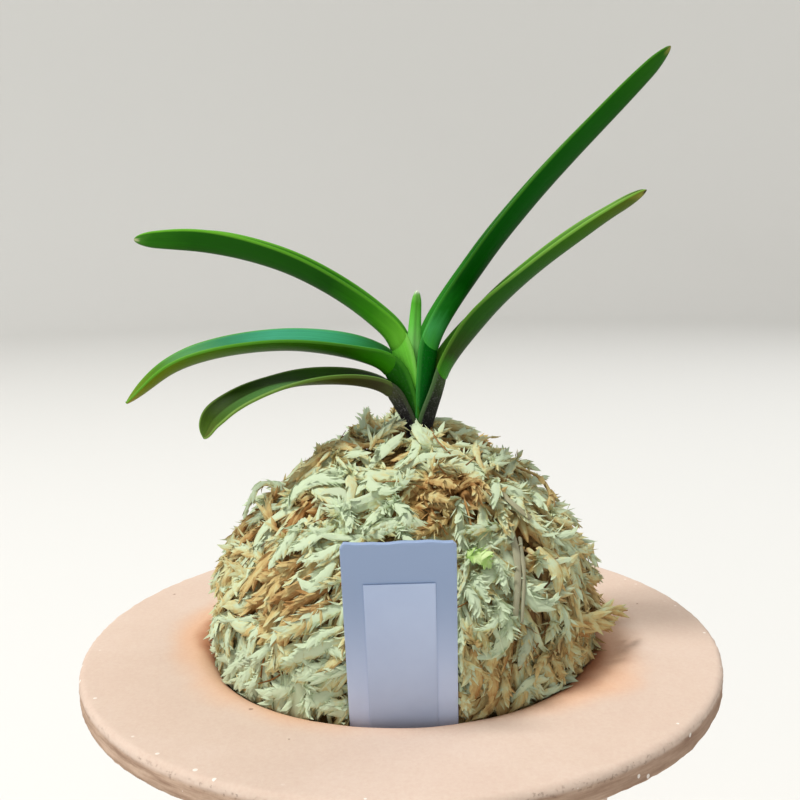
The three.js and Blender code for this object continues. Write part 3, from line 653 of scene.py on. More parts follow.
PLACED = [
    # strands that lie where they can be told apart: shape, width, tone, greyness and, from the root
    # on, the points that they pass through, as column and row of the camera's frame. Where a strand
    # hangs free over the brim, a point is azimuth, elevation and height in mm instead
    ("full", 1.0, 0.06, 0, (283, 486), (270, 474), (254, 476), (246, 493), (239, 513)),
    ("blade", 1.0, 0.00, 0, (283, 512), (295, 490), (315, 478), (345, 475)),
    ("ribbon", 1.1, 0.08, 0.2, (312, 502), (326, 487), (344, 490), (343, 505)),
    ("blade", 1.0, 0.45, 0, (305, 462), (317, 445), (335, 440), (354, 447)),
    ("full", 1.0, 0.50, 0, (292, 474), (308, 455), (328, 448)),
    ("ribbon", 1.0, 0.08, 0, (388, 470), (420, 451), (460, 452)),
    ("blade", 1.0, 0.10, 0, (322, 468), (345, 452), (372, 447)),
    ("shaggy", 0.9, 0.12, 0, (362, 440), (364, 428), (368, 416)),
    ("ribbon", 1.2, 0.22, 0, (352, 458), (350, 480), (347, 503)),
    ("full", 1.4, 0.02, 0, (383, 495), (400, 500), (407, 516), (397, 530)),
    ("full", 1.4, 0.05, 0, (352, 528), (382, 526), (410, 518)),
    ("full", 1.3, 0.04, 0, (330, 500), (345, 512), (350, 530)),
    ("shaggy", 1.0, 0.10, 0, (392, 483), (404, 471), (413, 460)),
    ("ribbon", 0.6, 0.00, 0, (385, 523), (391, 514), (402, 514), (407, 523)),
    ("full", 1.1, 0.62, 0, (264, 518), (250, 530), (238, 545)),
    ("full", 1.0, 0.55, 0, (258, 503), (244, 520), (232, 534)),
    ("full", 1.1, 0.38, 0, (247, 552), (231, 570), (216, 592)),
    ("blade", 1.1, 0.30, 0, (252, 570), (233, 590), (212, 613)),
    ("full", 1.0, 0.42, 0, (240, 543), (223, 560), (209, 579)),
    ("ribbon", 1.1, 0.00, 0, (338, 560), (324, 582), (310, 587), (298, 578)),
    ("blade", 1.2, 0.03, 0, (334, 520), (313, 535), (288, 549)),
    ("blade", 1.0, 0.05, 0, (342, 541), (325, 552), (303, 561)),
    ("full", 1.3, 0.05, 0, (302, 520), (286, 540), (268, 566)),
    ("full", 1.2, 0.68, 0, (332, 590), (306, 600), (280, 616)),
    ("full", 1.2, 0.62, 0, (336, 604), (311, 613), (284, 630)),
    ("blade", 1.1, 0.66, 0, (318, 578), (296, 592), (268, 603)),
    ("full", 1.1, 0.56, 0, (288, 572), (275, 590), (261, 613)),
    ("full", 1.1, 0.50, 0, (312, 620), (292, 630), (270, 644)),
    ("blade", 1.3, 0.03, 0, (347, 609), (313, 620), (277, 639)),
    ("blade", 1.3, 0.04, 0, (349, 642), (316, 650), (281, 663)),
    ("blade", 1.2, 0.06, 0, (336, 662), (312, 671), (288, 681)),
    ("full", 1.1, 0.12, 0, (346, 627), (320, 639), (300, 654)),
    ("hair", 1.5, 1.00, 0, (287, 671), (270, 680), (249, 687)),
    ("hair", 1.3, 1.00, 0, (271, 647), (260, 660), (252, 681)),
    ("blade", 1.0, 0.10, 0, (223, 602), (212, 630), (206, 656)),
    ("blade", 1.0, 0.16, 0, (232, 612), (222, 636), (216, 662)),
    ("full", 1.3, 0.02, 0, (252, 660), (237, 675), (226, 689)),
    ("shaggy", 1.1, 0.05, 0, (262, 671), (246, 684), (236, 697)),
    ("full", 1.2, 0.04, 0, (302, 689), (275, 695), (247, 702)),
    ("blade", 1.1, 0.04, 0, (338, 693), (312, 703), (288, 710)),
    ("full", 1.1, 0.10, 0, (349, 705), (330, 711), (310, 716)),
    ("blade", 1.1, 0.30, 0, (302, 640), (281, 655), (260, 673)),
    ("blade", 1.2, 0.10, 0, (264, 613), (250, 635), (240, 657)),
    ("full", 1.1, 0.10, 0, (287, 640), (263, 651), (243, 669)),
    ("blade", 1.0, 0.12, 0, (438, 450), (423, 439), (411, 427)),
    ("hair", 1.0, 0.90, 0, (425, 421), (437, 441), (451, 450)),
    ("ribbon", 0.8, 0.30, 0, (490, 476), (479, 456), (484, 438), (501, 434)),
    ("shaggy", 0.9, 0.10, 0, (488, 464), (499, 454), (510, 446)),
    ("blade", 0.9, 0.20, 0, (508, 473), (518, 459), (526, 447)),
    ("ribbon", 1.1, 0.48, 0, (516, 463), (540, 475), (552, 497), (545, 511)),
    ("blade", 0.9, 0.05, 0, (499, 474), (495, 490), (492, 509)),
    ("full", 1.3, 0.62, 0, (428, 474), (445, 480), (461, 491)),
    ("full", 1.2, 0.50, 0, (422, 489), (438, 493), (453, 501)),
    ("full", 0.9, 0.58, 0, (454, 492), (465, 482), (480, 484), (491, 498)),
    ("stick", 0.7, 0.66, 0, (463, 498), (468, 511), (472, 525)),
    ("hair", 0.8, 0.80, 0, (432, 505), (440, 520), (447, 533)),
    ("shaggy", 1.1, 0.44, 0, (449, 519), (430, 528), (411, 536)),
    ("shaggy", 1.1, 0.10, 0, (507, 529), (481, 530), (455, 533)),
    ("full", 1.3, 0.04, 0, (470, 573), (478, 590), (486, 606)),
    ("full", 1.3, 0.03, 0, (491, 556), (499, 578), (503, 598)),
    ("full", 1.2, 0.10, 0, (461, 583), (469, 600), (476, 619)),
    ("full", 1.2, 0.03, 0, (490, 600), (499, 612), (497, 630)),
    ("stick", 1.5, 0.30, 0.9, (507, 528), (514, 570), (511, 616)),
    ("stick", 1.2, 0.30, 0.9, (519, 540), (523, 576), (520, 622)),
    ("stick", 1.4, 0.30, 0.8, (498, 487), (512, 505), (529, 519)),
    ("hair", 1.0, 0.10, 0, (553, 523), (561, 514), (568, 506)),
    ("ribbon", 1.2, 0.32, 0, (535, 549), (546, 564), (552, 580), (553, 597)),
    ("full", 1.3, 0.02, 0, (521, 578), (528, 600), (540, 607), (555, 598)),
    ("full", 1.1, 0.36, 0, (543, 528), (562, 539), (579, 545)),
    ("full", 1.1, 0.28, 0, (540, 513), (555, 523), (567, 531)),
    ("full", 1.0, 0.30, 0, (558, 548), (574, 552), (589, 551)),
    ("full", 1.1, 0.15, 0, (550, 600), (565, 617), (575, 641)),
    ("full", 1.2, 0.40, 0, (569, 640), (557, 655), (546, 674), (541, 691)),
    ("full", 1.2, 0.46, 0, (570, 625), (580, 646), (586, 669)),
    ("full", 1.1, 0.50, 0, (560, 657), (570, 671), (575, 688)),
    ("shaggy", 1.3, 0.42, 0, (568, 611), (588, 615), (606, 618), (624, 623)),
    ("shaggy", 1.3, 0.46, 0, (-40, 17, 0.4), (-28, 14, 1.8), (-15, 11, 5.0), (-8, 8, 8.6)),
    ("shaggy", 1.2, 0.50, 0, (-36, 12, 0.4), (-24, 10, 2.0), (-14, 7, 4.6), (-8, 5, 6.6)),
    ("ribbon", 1.0, 0.04, 0, (519, 708), (528, 695), (540, 686), (561, 684)),
    ("blade", 1.1, 0.50, 0, (470, 650), (475, 676), (480, 706)),
    ("blade", 1.1, 0.56, 0, (490, 655), (495, 681), (498, 709)),
    ("full", 1.1, 0.36, 0, (462, 690), (468, 703), (476, 717)),
    ("full", 1.0, 0.46, 0, (508, 670), (512, 690), (515, 709)),
    ("shaggy", 1.3, 0.02, 0, (509, 612), (505, 627), (511, 641)),
    ("full", 1.1, 0.12, 0.4, (530, 620), (528, 645), (523, 669)),
]
PLACED_HEIGHTS = {
    # how far above the dome, in mm, a strand of so many points runs from its root to its tip
    3: (-0.2, 1.8, 2.2), 4: (-0.2, 1.8, 2.2, 2.0), 5: (-0.2, 2.0, 2.6, 2.6, 2.2),
}
FRAME_POINTS = 800
# the camera's eye from the middle of the foot, finer than above so that whole degrees come out alike
PLACING_EYE = np.array((0.7767, -197.9301, 176.2046)) * MM
RAY_SPAN = (120 * MM, 260 * MM)
RAY_STEPS = 4000

LABEL_WIDTH = 18.8 * MM
LABEL_ABOVE = 33 * MM
LABEL_BELOW = 52 * MM
LABEL_THICKNESS = 0.9 * MM
LABEL_FACE_Y = -36.6 * MM
LABEL_CENTRE_X = 0.45 * MM
LABEL_LEAN = math.atan(0.22)
LABEL_TURN = math.radians(0.7)
label_frame = (
    Matrix.Translation((LABEL_CENTRE_X, LABEL_FACE_Y, BRIM_TOP))
    @ Matrix.Rotation(math.pi / 2 + LABEL_LEAN, 4, "X")
    @ Matrix.Rotation(LABEL_TURN, 4, "Z")
)
POT_CLEARANCE = 0.25 * MM
WALL_CLEARANCE = 0.8 * MM
LABEL_CLEARANCE = 0.4 * MM
LABEL_SIDE_CLEARANCE = 0.3 * MM
LABEL_TOP_CLEARANCE = 1.2 * MM
# how far a strand's normals are turned to the dome's, and how much paler the faces turned up, left and
# forward towards the main lamp are painted and how much browner those turned away, as painted light and
# shade
EVEN_OUT = 0.8
LAMP_SIDE_PAINT = 0.20
LAMP_WAY = np.array((-0.5, -0.5, 0.707))
TONE_SCATTER = 0.18
PATCH_SCATTER = 0.09
# strands are strewn between these sines of the elevation
CROWN_SINE = 1.0
LIP_SINE = -0.04


def bearings(azimuth, elevation):
    """Unit vectors out of the dome, down its side and round it."""
    out = np.stack([np.cos(azimuth) * np.cos(elevation), np.sin(azimuth) * np.cos(elevation),
                    np.sin(elevation)], -1)
    down = np.stack([np.cos(azimuth) * np.sin(elevation), np.sin(azimuth) * np.sin(elevation),
                     -np.cos(elevation)], -1)
    round_ = np.stack([-np.sin(azimuth), np.cos(azimuth), np.zeros_like(azimuth)], -1)
    return out, down, round_


def spread_over(count, rng):
    """Azimuths and elevations spread evenly over the dome."""
    index = np.arange(count)
    sine = CROWN_SINE - (index + rng.uniform(0.2, 0.8, count)) / count * (CROWN_SINE - LIP_SINE)
    azimuth = (index * GOLDEN_TURN + rng.uniform(-0.12, 0.12, count)) % math.tau - math.pi
    return azimuth, np.arcsin(np.clip(sine, -1, 1))


rng = np.random.default_rng(471)
lump_way = bearings(*spread_over(LUMPS, rng))[0]
lump_height = rng.uniform(-1.6, 1.7, LUMPS) * MM
lump_size = np.radians(rng.uniform(7, 14, LUMPS))
for turn, rise, size, height in HOLLOWS:
    lump_way = np.concatenate([lump_way, bearings(np.radians([turn]), np.radians([rise]))[0]])
    lump_height = np.append(lump_height, height * MM)
    lump_size = np.append(lump_size, math.radians(size))


def surface(out):
    """Distance from the dome's centre to its lumpy surface along unit vectors."""
    rise = np.arcsin(np.clip(out[..., 2], -1, 1))
    apart = np.arccos(np.clip(out @ lump_way.T, -1, 1)) / lump_size
    lump = (np.exp(-apart ** 2) * lump_height).sum(-1)
    foot = LOW_INSET * np.exp(-(np.clip(np.degrees(rise), 0, 90) / 11) ** 2)
    return reach_at(rise) + lump * np.clip(np.degrees(rise) / 9, 0, 1) - foot


def combed(azimuth, elevation, heading, length, curl, heights):
    """Middle lines of strands over the dome. heading is the turn from straight down towards +X in
    front, curl the turn over the whole length and heights how far root, middle and tip stand off."""
    out, down, round_ = bearings(azimuth, elevation)
    ahead = np.cos(heading)[:, None] * down + np.sin(heading)[:, None] * round_
    lines = np.zeros((len(azimuth), STEPS, 3))
    step = length / (STEPS - 1)
    root, middle, tip = heights
    for k in range(STEPS):
        t = k / (STEPS - 1)
        reach = surface(out)
        lift = root * (1 - t) * (1 - 2 * t) + 4 * middle * t * (1 - t) + tip * t * (2 * t - 1)
        lines[:, k] = DOME_CENTRE + out * (reach + lift)[:, None]
        turn = (step / reach)[:, None]
        out, ahead = out * np.cos(turn) + ahead * np.sin(turn), ahead * np.cos(turn) - out * np.sin(turn)
        bend = (curl / (STEPS - 1))[:, None] * (0.4 + 1.2 * t)
        ahead = ahead * np.cos(bend) + np.cross(out, ahead) * np.sin(bend)
    return lines


def unit(vectors):
    return vectors / np.maximum(np.linalg.norm(vectors, axis=-1, keepdims=True), 1e-12)


def smooth_line(points):
    """A dense centripetal curve through the points, and the share of its length at each dense point."""
    knots = np.array(points, float) * MM + (0, 0, BRIM_TOP)
    knots = np.concatenate([[2 * knots[0] - knots[1]], knots, [2 * knots[-1] - knots[-2]]])
    dense = []
    for p0, p1, p2, p3 in zip(knots, knots[1:], knots[2:], knots[3:]):
        d0, d1, d2 = [np.linalg.norm(b - a) ** 0.5 for a, b in ((p0, p1), (p1, p2), (p2, p3))]
        m1 = ((p1 - p0) / d0 - (p2 - p0) / (d0 + d1) + (p2 - p1) / d1) * d1
        m2 = ((p2 - p1) / d1 - (p3 - p1) / (d1 + d2) + (p3 - p2) / d2) * d1
        t = np.linspace(0, 1, 60, endpoint=False)[:, None]
        cubic = 2 * p1 - 2 * p2 + m1 + m2
        square = -3 * p1 + 3 * p2 - 2 * m1 - m2
        dense.append(p1 + m1 * t + square * t ** 2 + cubic * t ** 3)
    dense = np.concatenate(dense + [knots[-2:-1]])
    run = np.concatenate([[0], np.cumsum(np.linalg.norm(np.diff(dense, axis=0), axis=1))])
    return dense, run / run[-1], run[-1]


def on_line(curve, share):
    """Places and directions on a curve at shares of its length."""
    dense, shares, _ = curve
    heads = unit(np.gradient(dense, shares, axis=0))
    here = np.stack([np.interp(share, shares, dense[:, i]) for i in range(3)], -1)
    ahead = unit(np.stack([np.interp(share, shares, heads[:, i]) for i in range(3)], -1))
    return here, ahead


def laid(corners, lines, widths, rolls, twists):
    """Copies of a shape bent along each of the lines, as one array of corners."""
    along = np.clip(corners[:, 0], 0, 1) * (STEPS - 1)
    beyond = np.clip(corners[:, 0] - 1, 0, None) + np.clip(corners[:, 0], None, 0)
    low = np.minimum(along.astype(int), STEPS - 2)
    part = (along - low)[None, :, None]
    tangent = unit(np.gradient(lines, axis=1))
    outward = lines - DOME_CENTRE
    upward = unit(outward - (outward * tangent).sum(-1, keepdims=True) * tangent)
    side = np.cross(upward, tangent)
    roll = rolls[:, None] + twists[:, None] * np.linspace(0, 1, STEPS)
    c, s = np.cos(roll)[..., None], np.sin(roll)[..., None]
    side, upward = side * c + upward * s, upward * c - side * s

    def between(values):
        return values[:, low] * (1 - part) + values[:, low + 1] * part

    length = np.linalg.norm(np.diff(lines, axis=1), axis=-1).sum(1)[:, None, None]
    here = between(lines) + between(tangent) * beyond[None, :, None] * length
    return (here + between(side) * (corners[None, :, 1:2] * widths[:, None, None])
            + between(upward) * (corners[None, :, 2:3] * widths[:, None, None]))


def kept_clear(corners):
    """Corners that would be in the pot or the label are moved out to its surface."""
    flat = corners.reshape(-1, 3).copy()
    radial = np.hypot(flat[:, 0], flat[:, 1])
    over = (radial > lip_centre[0]) & (flat[:, 2] < BRIM_TOP + POT_CLEARANCE)
    flat[over, 2] = BRIM_TOP + POT_CLEARANCE
    off = np.stack([radial - lip_centre[0], flat[:, 2] - lip_centre[1]], -1)
    gap = np.linalg.norm(off, axis=1)
    need = LIP_ROUND + POT_CLEARANCE
    bent = (~over) & (gap < need) & (off[:, 1] > 0)
    grow = np.where(bent, need / np.maximum(gap, 1e-9), 1.0)
    radial_to = np.where(bent, lip_centre[0] + off[:, 0] * grow, radial)
    flat[:, 2] = np.where(bent, lip_centre[1] + off[:, 1] * grow, flat[:, 2])
    inside = (flat[:, 2] <= lip_centre[1]) & ~over
    radial_to = np.where(inside, np.minimum(radial_to, MOUTH_RADIUS - WALL_CLEARANCE), radial_to)
    flat[:, :2] *= (radial_to / np.maximum(radial, 1e-9))[:, None]
    back = np.array(label_frame.inverted())
    local = flat @ back[:3, :3].T + back[:3, 3]
    hit = np.abs(local[:, 0]) < LABEL_WIDTH / 2 + LABEL_SIDE_CLEARANCE
    hit &= local[:, 1] < LABEL_ABOVE + LABEL_TOP_CLEARANCE
    hit &= (local[:, 2] > -LABEL_THICKNESS - LABEL_CLEARANCE) & (local[:, 1] > -LABEL_BELOW)
    local[hit, 2] = -LABEL_THICKNESS - LABEL_CLEARANCE
    there = np.array(label_frame)
    return (local @ there[:3, :3].T + there[:3, 3]).reshape(corners.shape)


def moss_piece(name, batches):
    """One piece of many strands. A batch is a shape, its copies and each strand's tone and grey."""
    corners = []
    faces = []
    marks = {"tone": [], "grey": [], "lit": []}
    fibre = []
    soft = []
    count = 0
    for shape, copies, tone, grey in batches:
        strands, points = copies.shape[:2]
        copies = kept_clear(copies)
        corners.append(copies.reshape(-1, 3))
        for face in shape[1]:
            starts = count + np.arange(strands) * points
            faces += (starts[:, None] + np.array(face)[None, :]).tolist()
        off = copies - DOME_CENTRE
        away = np.linalg.norm(off, axis=-1)
        height = away - surface(off / away[..., None])
        deep = np.clip((0.8 * MM - height) / (3.2 * MM), 0, 1)
        tips = shape[2][None, :, 0]
        above = np.clip(shape[0][None, :, 2] / (0.7 * MM), -1, 1)
        # painted shade and painted light: the tone is made browner deep below the surface, at the leaves'
        # bases and on the strands' lower sides and paler on their upper sides, and lit darkens the parts
        # near the surface, most on their upper sides, against the lamp's highlights
        marks["tone"].append((tone[:, None] + 0.16 * (0.3 - tips) + 0.32 * deep - 0.14 * above).ravel())
        marks["grey"].append(np.repeat(grey, points))
        marks["lit"].append((0.88 + 0.12 * deep - 0.04 * above).clip(0, 1).ravel())
        own = (count + np.arange(strands)) * MM
        along = np.broadcast_to(shape[2][None, :, 1], (strands, points))
        around = np.broadcast_to(shape[2][None, :, 2], (strands, points))
        own = np.broadcast_to(own[:, None], along.shape)
        fibre.append(np.stack([along, around, own], -1).reshape(-1, 3))
        soft.append(np.repeat(shape[3], strands))
        count += strands * points
    mesh = bpy.data.meshes.new(name)
    mesh.from_pydata(np.concatenate(corners), [], faces)
    marked(mesh, "grey", np.concatenate(marks["grey"]))
    marked(mesh, "lit", np.concatenate(marks["lit"]))
    marked(mesh, "fibre", np.concatenate(fibre))
    mesh.polygons.foreach_set("use_smooth", np.concatenate(soft))
    # the papery leaves let light through, so each is lit more evenly than a solid one would be
    normals = np.empty(len(mesh.loops) * 3, np.float32)
    mesh.corner_normals.foreach_get("vector", normals)
    normals = normals.reshape(-1, 3)
    ends = np.empty(len(mesh.loops), np.int32)
    mesh.loops.foreach_get("vertex_index", ends)
    outward = unit(np.concatenate(corners)[ends] - DOME_CENTRE)
    mesh.normals_split_custom_set(unit(normals + EVEN_OUT * outward))
    # painted light and shade: the faces turned towards the main lamp are painted paler and those turned
    # away browner
    tone = np.concatenate(marks["tone"])[ends] + LAMP_SIDE_PAINT * (0.35 - normals @ LAMP_WAY)
    marked(mesh, "tone", tone, "CORNER")
    piece = bpy.data.objects.new(name, mesh)
    bpy.context.scene.collection.objects.link(piece)
    piece.data.materials.append(dry_moss)
    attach(piece, "root")
    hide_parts("moss_mound")
    return piece


dry_moss = finish("dried_moss", {"Roughness": 0.8, "Specular IOR Level": 0.12})
moss_at = place(dry_moss)
fibre_at = carried(dry_moss, "fibre", "Vector")
blotch = maths(dry_moss, "SUBTRACT", noise(dry_moss, moss_at, 420.0, 3.0, 0.6), 0.5)
fibres = noise(dry_moss, stretched(dry_moss, fibre_at, (260.0, 2600.0, 900.0)), 1.0, 3.0, 0.6)
# the carried tone holds the strands' painted shade and painted light; blotch and streak are the moss's own
# stains
stains_and_painted_shade = maths(dry_moss, "ADD", carried(dry_moss, "tone"), maths(dry_moss, "MULTIPLY", blotch, 0.7))
streak = maths(dry_moss, "MULTIPLY", maths(dry_moss, "SUBTRACT", fibres, 0.5), 0.5)
stains_and_painted_shade = maths(dry_moss, "ADD", stains_and_painted_shade, streak)
moss_tone = tones(dry_moss, stains_and_painted_shade, [
    (0.00, colour(208, 224, 190)),
    (0.14, colour(213, 214, 164)),
    (0.32, colour(210, 188, 128)),
    (0.60, colour(176, 134, 82)),
    (0.80, colour(150, 106, 56)),
    (1.00, colour(106, 68, 28)),
])
moss_tone = mix(dry_moss, carried(dry_moss, "grey"), moss_tone, colour(160, 158, 134))
# painted light: lit multiplies the colour, a little darker near the surface than deep down
lit = carried(dry_moss, "lit")
lit_colour = node(dry_moss, "ShaderNodeCombineColor", {0: lit, 1: lit, 2: lit}).outputs[0]
moss_tone = mix(dry_moss, 1.0, moss_tone, lit_colour, "MULTIPLY")
moss_bump = relief(dry_moss, fibres, 0.12 * MM, 0.5)
into_shader(dry_moss, Base_Color=moss_tone, Normal=moss_bump)


def heading_at(azimuth, elevation, rng, scatter):
    """Combed to the left in front on the left, hanging elsewhere, all ways on the crown."""
    degrees = np.degrees(azimuth)
    left_front = np.exp(-((degrees + 118) / 26) ** 2)
    low = np.clip(1.2 - np.degrees(elevation) / 60, 0.2, 1.0)
    lean = -math.radians(58) * left_front * low
    lean += -math.radians(16) * np.exp(-((degrees + 60) / 22) ** 2)
    crown = np.clip((np.degrees(elevation) - 42) / 24, 0, 1)
    wild = rng.normal(0, 1, len(azimuth)) * (scatter * (1 - crown) + math.radians(85) * crown)
    return lean + wild


def nearness(out, turn, rise, size):
    """From 1 at a spot of the dome, given in degrees, to 0 well beyond its size."""
    there = bearings(np.radians([turn]), np.radians([rise]))[0][0]
    apart = np.degrees(np.arccos(np.clip(out @ there, -1, 1)))
    return np.exp(-(apart / size) ** 2)


def tone_at(azimuth, elevation, rng):
    """Tone and greyness of the moss at a place on the dome."""
    out = bearings(azimuth, elevation)[0]
    tone = np.full(len(azimuth), PLAIN_TONE) + rng.normal(0, TONE_SCATTER, len(azimuth))
    for turn, rise, size, value in PATCHES:
        share = nearness(out, turn, rise, size)
        tone = tone * (1 - share) + (value + rng.normal(0, PATCH_SCATTER, len(azimuth))) * share
    grey = np.zeros(len(azimuth))
    for spot in GREY_PATCHES:
        grey = np.maximum(grey, 0.7 * nearness(out, *spot))
    return tone, grey * rng.uniform(0.0, 1.0, len(azimuth)) ** 1.5


def layer(rng, shapes, count, lengths, heights, scatter, curl, widths, roll, tone_shift):
    """A layer of strands as batches, one for each shape. heights are ranges for root, middle, tip."""
    azimuth, elevation = spread_over(count, rng)
    heading = heading_at(azimuth, elevation, rng, scatter)
    length = rng.uniform(*lengths, count)
    bend = rng.normal(0, curl, count)
    lifts = [rng.uniform(*h, count) * MM for h in heights]
    # a strand that starts low is moved up so that it ends near the lip and not in the pot
    drop = np.cos(heading) * length * MM / reach_at(elevation)
    elevation = np.maximum(elevation, np.radians(-5) + np.clip(drop, 0, None) * 0.9)
    lines = combed(azimuth, elevation, heading, length * MM, bend, lifts)
    middle = lines[:, STEPS // 2] - DOME_CENTRE
    mid_azimuth = np.arctan2(middle[:, 1], middle[:, 0])
    mid_elevation = np.arcsin(middle[:, 2] / np.linalg.norm(middle, axis=1))
    tone, grey = tone_at(mid_azimuth, mid_elevation, rng)
    width = rng.uniform(*widths, count)
    rolls = rng.normal(0, roll, count)
    twists = rng.normal(0, 0.8, count)
    batches = []
    for v, shape in enumerate(shapes):
        pick = np.arange(v, count, len(shapes))
        copies = laid(shape[0], lines[pick], width[pick], rolls[pick], twists[pick])
        batches.append((shape, copies, tone[pick] + tone_shift, grey[pick]))
    return batches


PLUMES = {
    # how many shapes of a kind there are, its leaves, its length and width in mm, its flatness, a
    # leaf's length and width in mm, splay and edge as in plume, and sides and rings of the body
    "tight": (4, 14, 14, 2.0, 0.6, 2.8, 1.7, (10, 30), 0.4, 6, 7),
    "full": (6, 38, 13, 1.9, 0.6, 2.7, 1.05, (6, 28), 0.4, 8, 9),
    "blade": (6, 28, 15, 2.4, 0.32, 2.7, 1.0, (5, 26), 0.85, 8, 9),
    "ribbon": (3, 9, 15, 2.1, 0.4, 2.6, 1.0, (6, 30), 0.8, 8, 9),
    "shaggy": (4, 34, 10, 1.2, 0.8, 3.0, 1.15, (14, 50), 0.2, 6, 7),
}
LAYERS = [
    # piece, kinds of strand, how many, their lengths, how high root, middle and tip stand, scatter of
    # heading and curl, widths, scatter of the roll and what is added to the tone; lengths in mm
    ("moss_bed", ("tight",), 460, (12, 20), [(-3.4, -2.2), (-2.6, -1.4), (-2.4, -0.8)],
     0.6, 0.6, (1.0, 1.5), 0.5, 0.06),
    ("moss_full_strands", ("full",), 310, (9, 16), [(-2.6, -1.4), (-1.2, 0.2), (-1.0, 1.4)],
     0.55, 0.9, (0.8, 1.3), 0.6, 0.0),
    ("moss_broad_strands", ("blade", "ribbon"), 360, (11, 21), [(-2.0, -0.8), (-0.4, 1.2), (-0.2, 2.6)],
     0.5, 1.2, (0.8, 1.4), 0.5, -0.05),
    ("moss_loose_strands", ("shaggy", "first_full"), 170, (7, 13), [(-1.6, 0.0), (0.4, 1.8), (0.8, 4.2)],
     0.9, 1.5, (0.8, 1.3), 0.9, -0.05),
    ("moss_shoot_heads", ("tuft",), 60, (5, 8), [(-1.6, -0.6), (0.2, 1.0), (0.8, 2.6)],
     0.6, 0.5, (0.8, 1.2), 0.8, -0.04),
    ("moss_stems_and_hairs", ("stick",), 90, (12, 24), [(-1.4, 0.0), (-0.4, 0.6), (-0.4, 1.2)],
     0.5, 0.3, (0.7, 1.3), 0.5, 0.0),
    ("moss_stems_and_hairs", ("hair",), 60, (7, 18), [(-0.6, 0.4), (0.4, 1.4), (0.4, 2.6)],
     0.8, 0.8, (0.7, 1.2), 0.5, 0.8),
]
STICK_WIDTH = 1.1 * MM
HAIR_WIDTH = 0.34 * MM
TUFT_LEAF = (3.4 * MM, 1.5 * MM)

strands = {}
for kind, (shapes, leaves, *sizes, splay, edge, sides, rings) in PLUMES.items():
    length, width, flat, leaf_length, leaf_width = sizes
    strands[kind] = [
        plume(rng, leaves, length * MM, width * MM, flat, leaf_length * MM, leaf_width * MM, splay, edge,
              sides, rings)
        for _ in range(shapes)
    ]
strands["first_full"] = strands["full"][:2]
strands["stick"] = [stick(rng, STICK_WIDTH, 8) for _ in range(3)]
strands["hair"] = [stick(rng, HAIR_WIDTH, 10) for _ in range(2)]
strands["tuft"] = [tuft(rng, 26, *TUFT_LEAF) for _ in range(3)]

layers = {}
for name, kinds, *settings in LAYERS:
    shapes = [shape for kind in kinds for shape in strands[kind]]
    layers.setdefault(name, []).extend(layer(rng, shapes, *settings))
for name, batches in layers.items():
    moss_piece(name, batches)


def seen_at(column, row, height):
    """Azimuth and elevation in whole degrees, and height in mm, of the place where the camera's ray
    through a point of its frame meets the dome raised by height or, beside the dome, passes nearest."""
    focal = FRAME_POINTS * LENS / SENSOR_WIDTH
    half = FRAME_POINTS / 2
    ahead = camera_turn @ Vector(((column - half) / focal, (half - row) / focal, -1)).normalized()
    ray = PLACING_EYE + np.linspace(*RAY_SPAN, RAY_STEPS)[:, None] * np.array(ahead) - DOME_CENTRE
    rise = np.arcsin(ray[:, 2] / np.linalg.norm(ray, axis=1))
    above = (np.linalg.norm(ray, axis=1) - reach_at(rise)) / MM
    met = above < height
    spot = int(np.argmax(met) if met.any() else np.argmin(above))
    angles = [math.degrees(math.atan2(ray[spot, 1], ray[spot, 0])), math.degrees(rise[spot])]
    if met.any():
        return (*[round(round(angle, 1)) for angle in angles], height)
    return (*[round(angle) for angle in angles], round(float(above[spot]), 1))


placed = []
for number, (kind, width, tone, grey, *stops) in enumerate(PLACED):
    if len(stops[0]) == 2:
        stops = [seen_at(*stop, height) for stop, height in zip(stops, PLACED_HEIGHTS[len(stops)])]
    turn, rise, height = np.array(stops).T
    out = bearings(np.radians(turn), np.radians(rise))[0]
    reach = surface(out) / MM + height
    curve = smooth_line(out * reach[:, None] + (DOME_CENTRE[0] / MM, 0, 0))
    line = on_line(curve, np.linspace(0, 1, STEPS))[0]
    shape = strands[kind][number % len(strands[kind])]
    copies = laid(shape[0], line[None], np.array([width]), rng.normal(0, 0.4, 1), rng.normal(0, 0.4, 1))
    placed.append((shape, copies, np.array([tone]), np.array([grey])))
moss_piece("moss_placed_strands", placed)

# one shoot head beside the label is still alive
BUD = {"azimuth": -69.0, "elevation": 40.0, "heading": 0.9, "length": 4.6 * MM, "width": 1.5}
BUD_HEIGHTS = (1.4 * MM, 2.6 * MM, 2.0 * MM)
bud_line = combed(
    np.radians([BUD["azimuth"]]), np.radians([BUD["elevation"]]), np.array([BUD["heading"]]),
    np.array([BUD["length"]]), np.zeros(1), [np.array([height]) for height in BUD_HEIGHTS],
)
bud_shape = strands["full"][1]
bud_copies = laid(bud_shape[0], bud_line, np.array([BUD["width"]]), np.zeros(1), np.zeros(1))
bud = moss_piece("green_shoot_head", [(bud_shape, bud_copies, np.array([0.1]), np.array([0.0]))])
living = finish("living_moss", {"Roughness": 0.6, "Specular IOR Level": 0.2})
living_tone = tones(living, noise(living, place(living), 500.0, 3.0), [(0.35, colour(168, 204, 112)),
                                                                     (0.65, colour(208, 228, 164))])
into_shader(living, Base_Color=living_tone)
bud.data.materials[0] = living


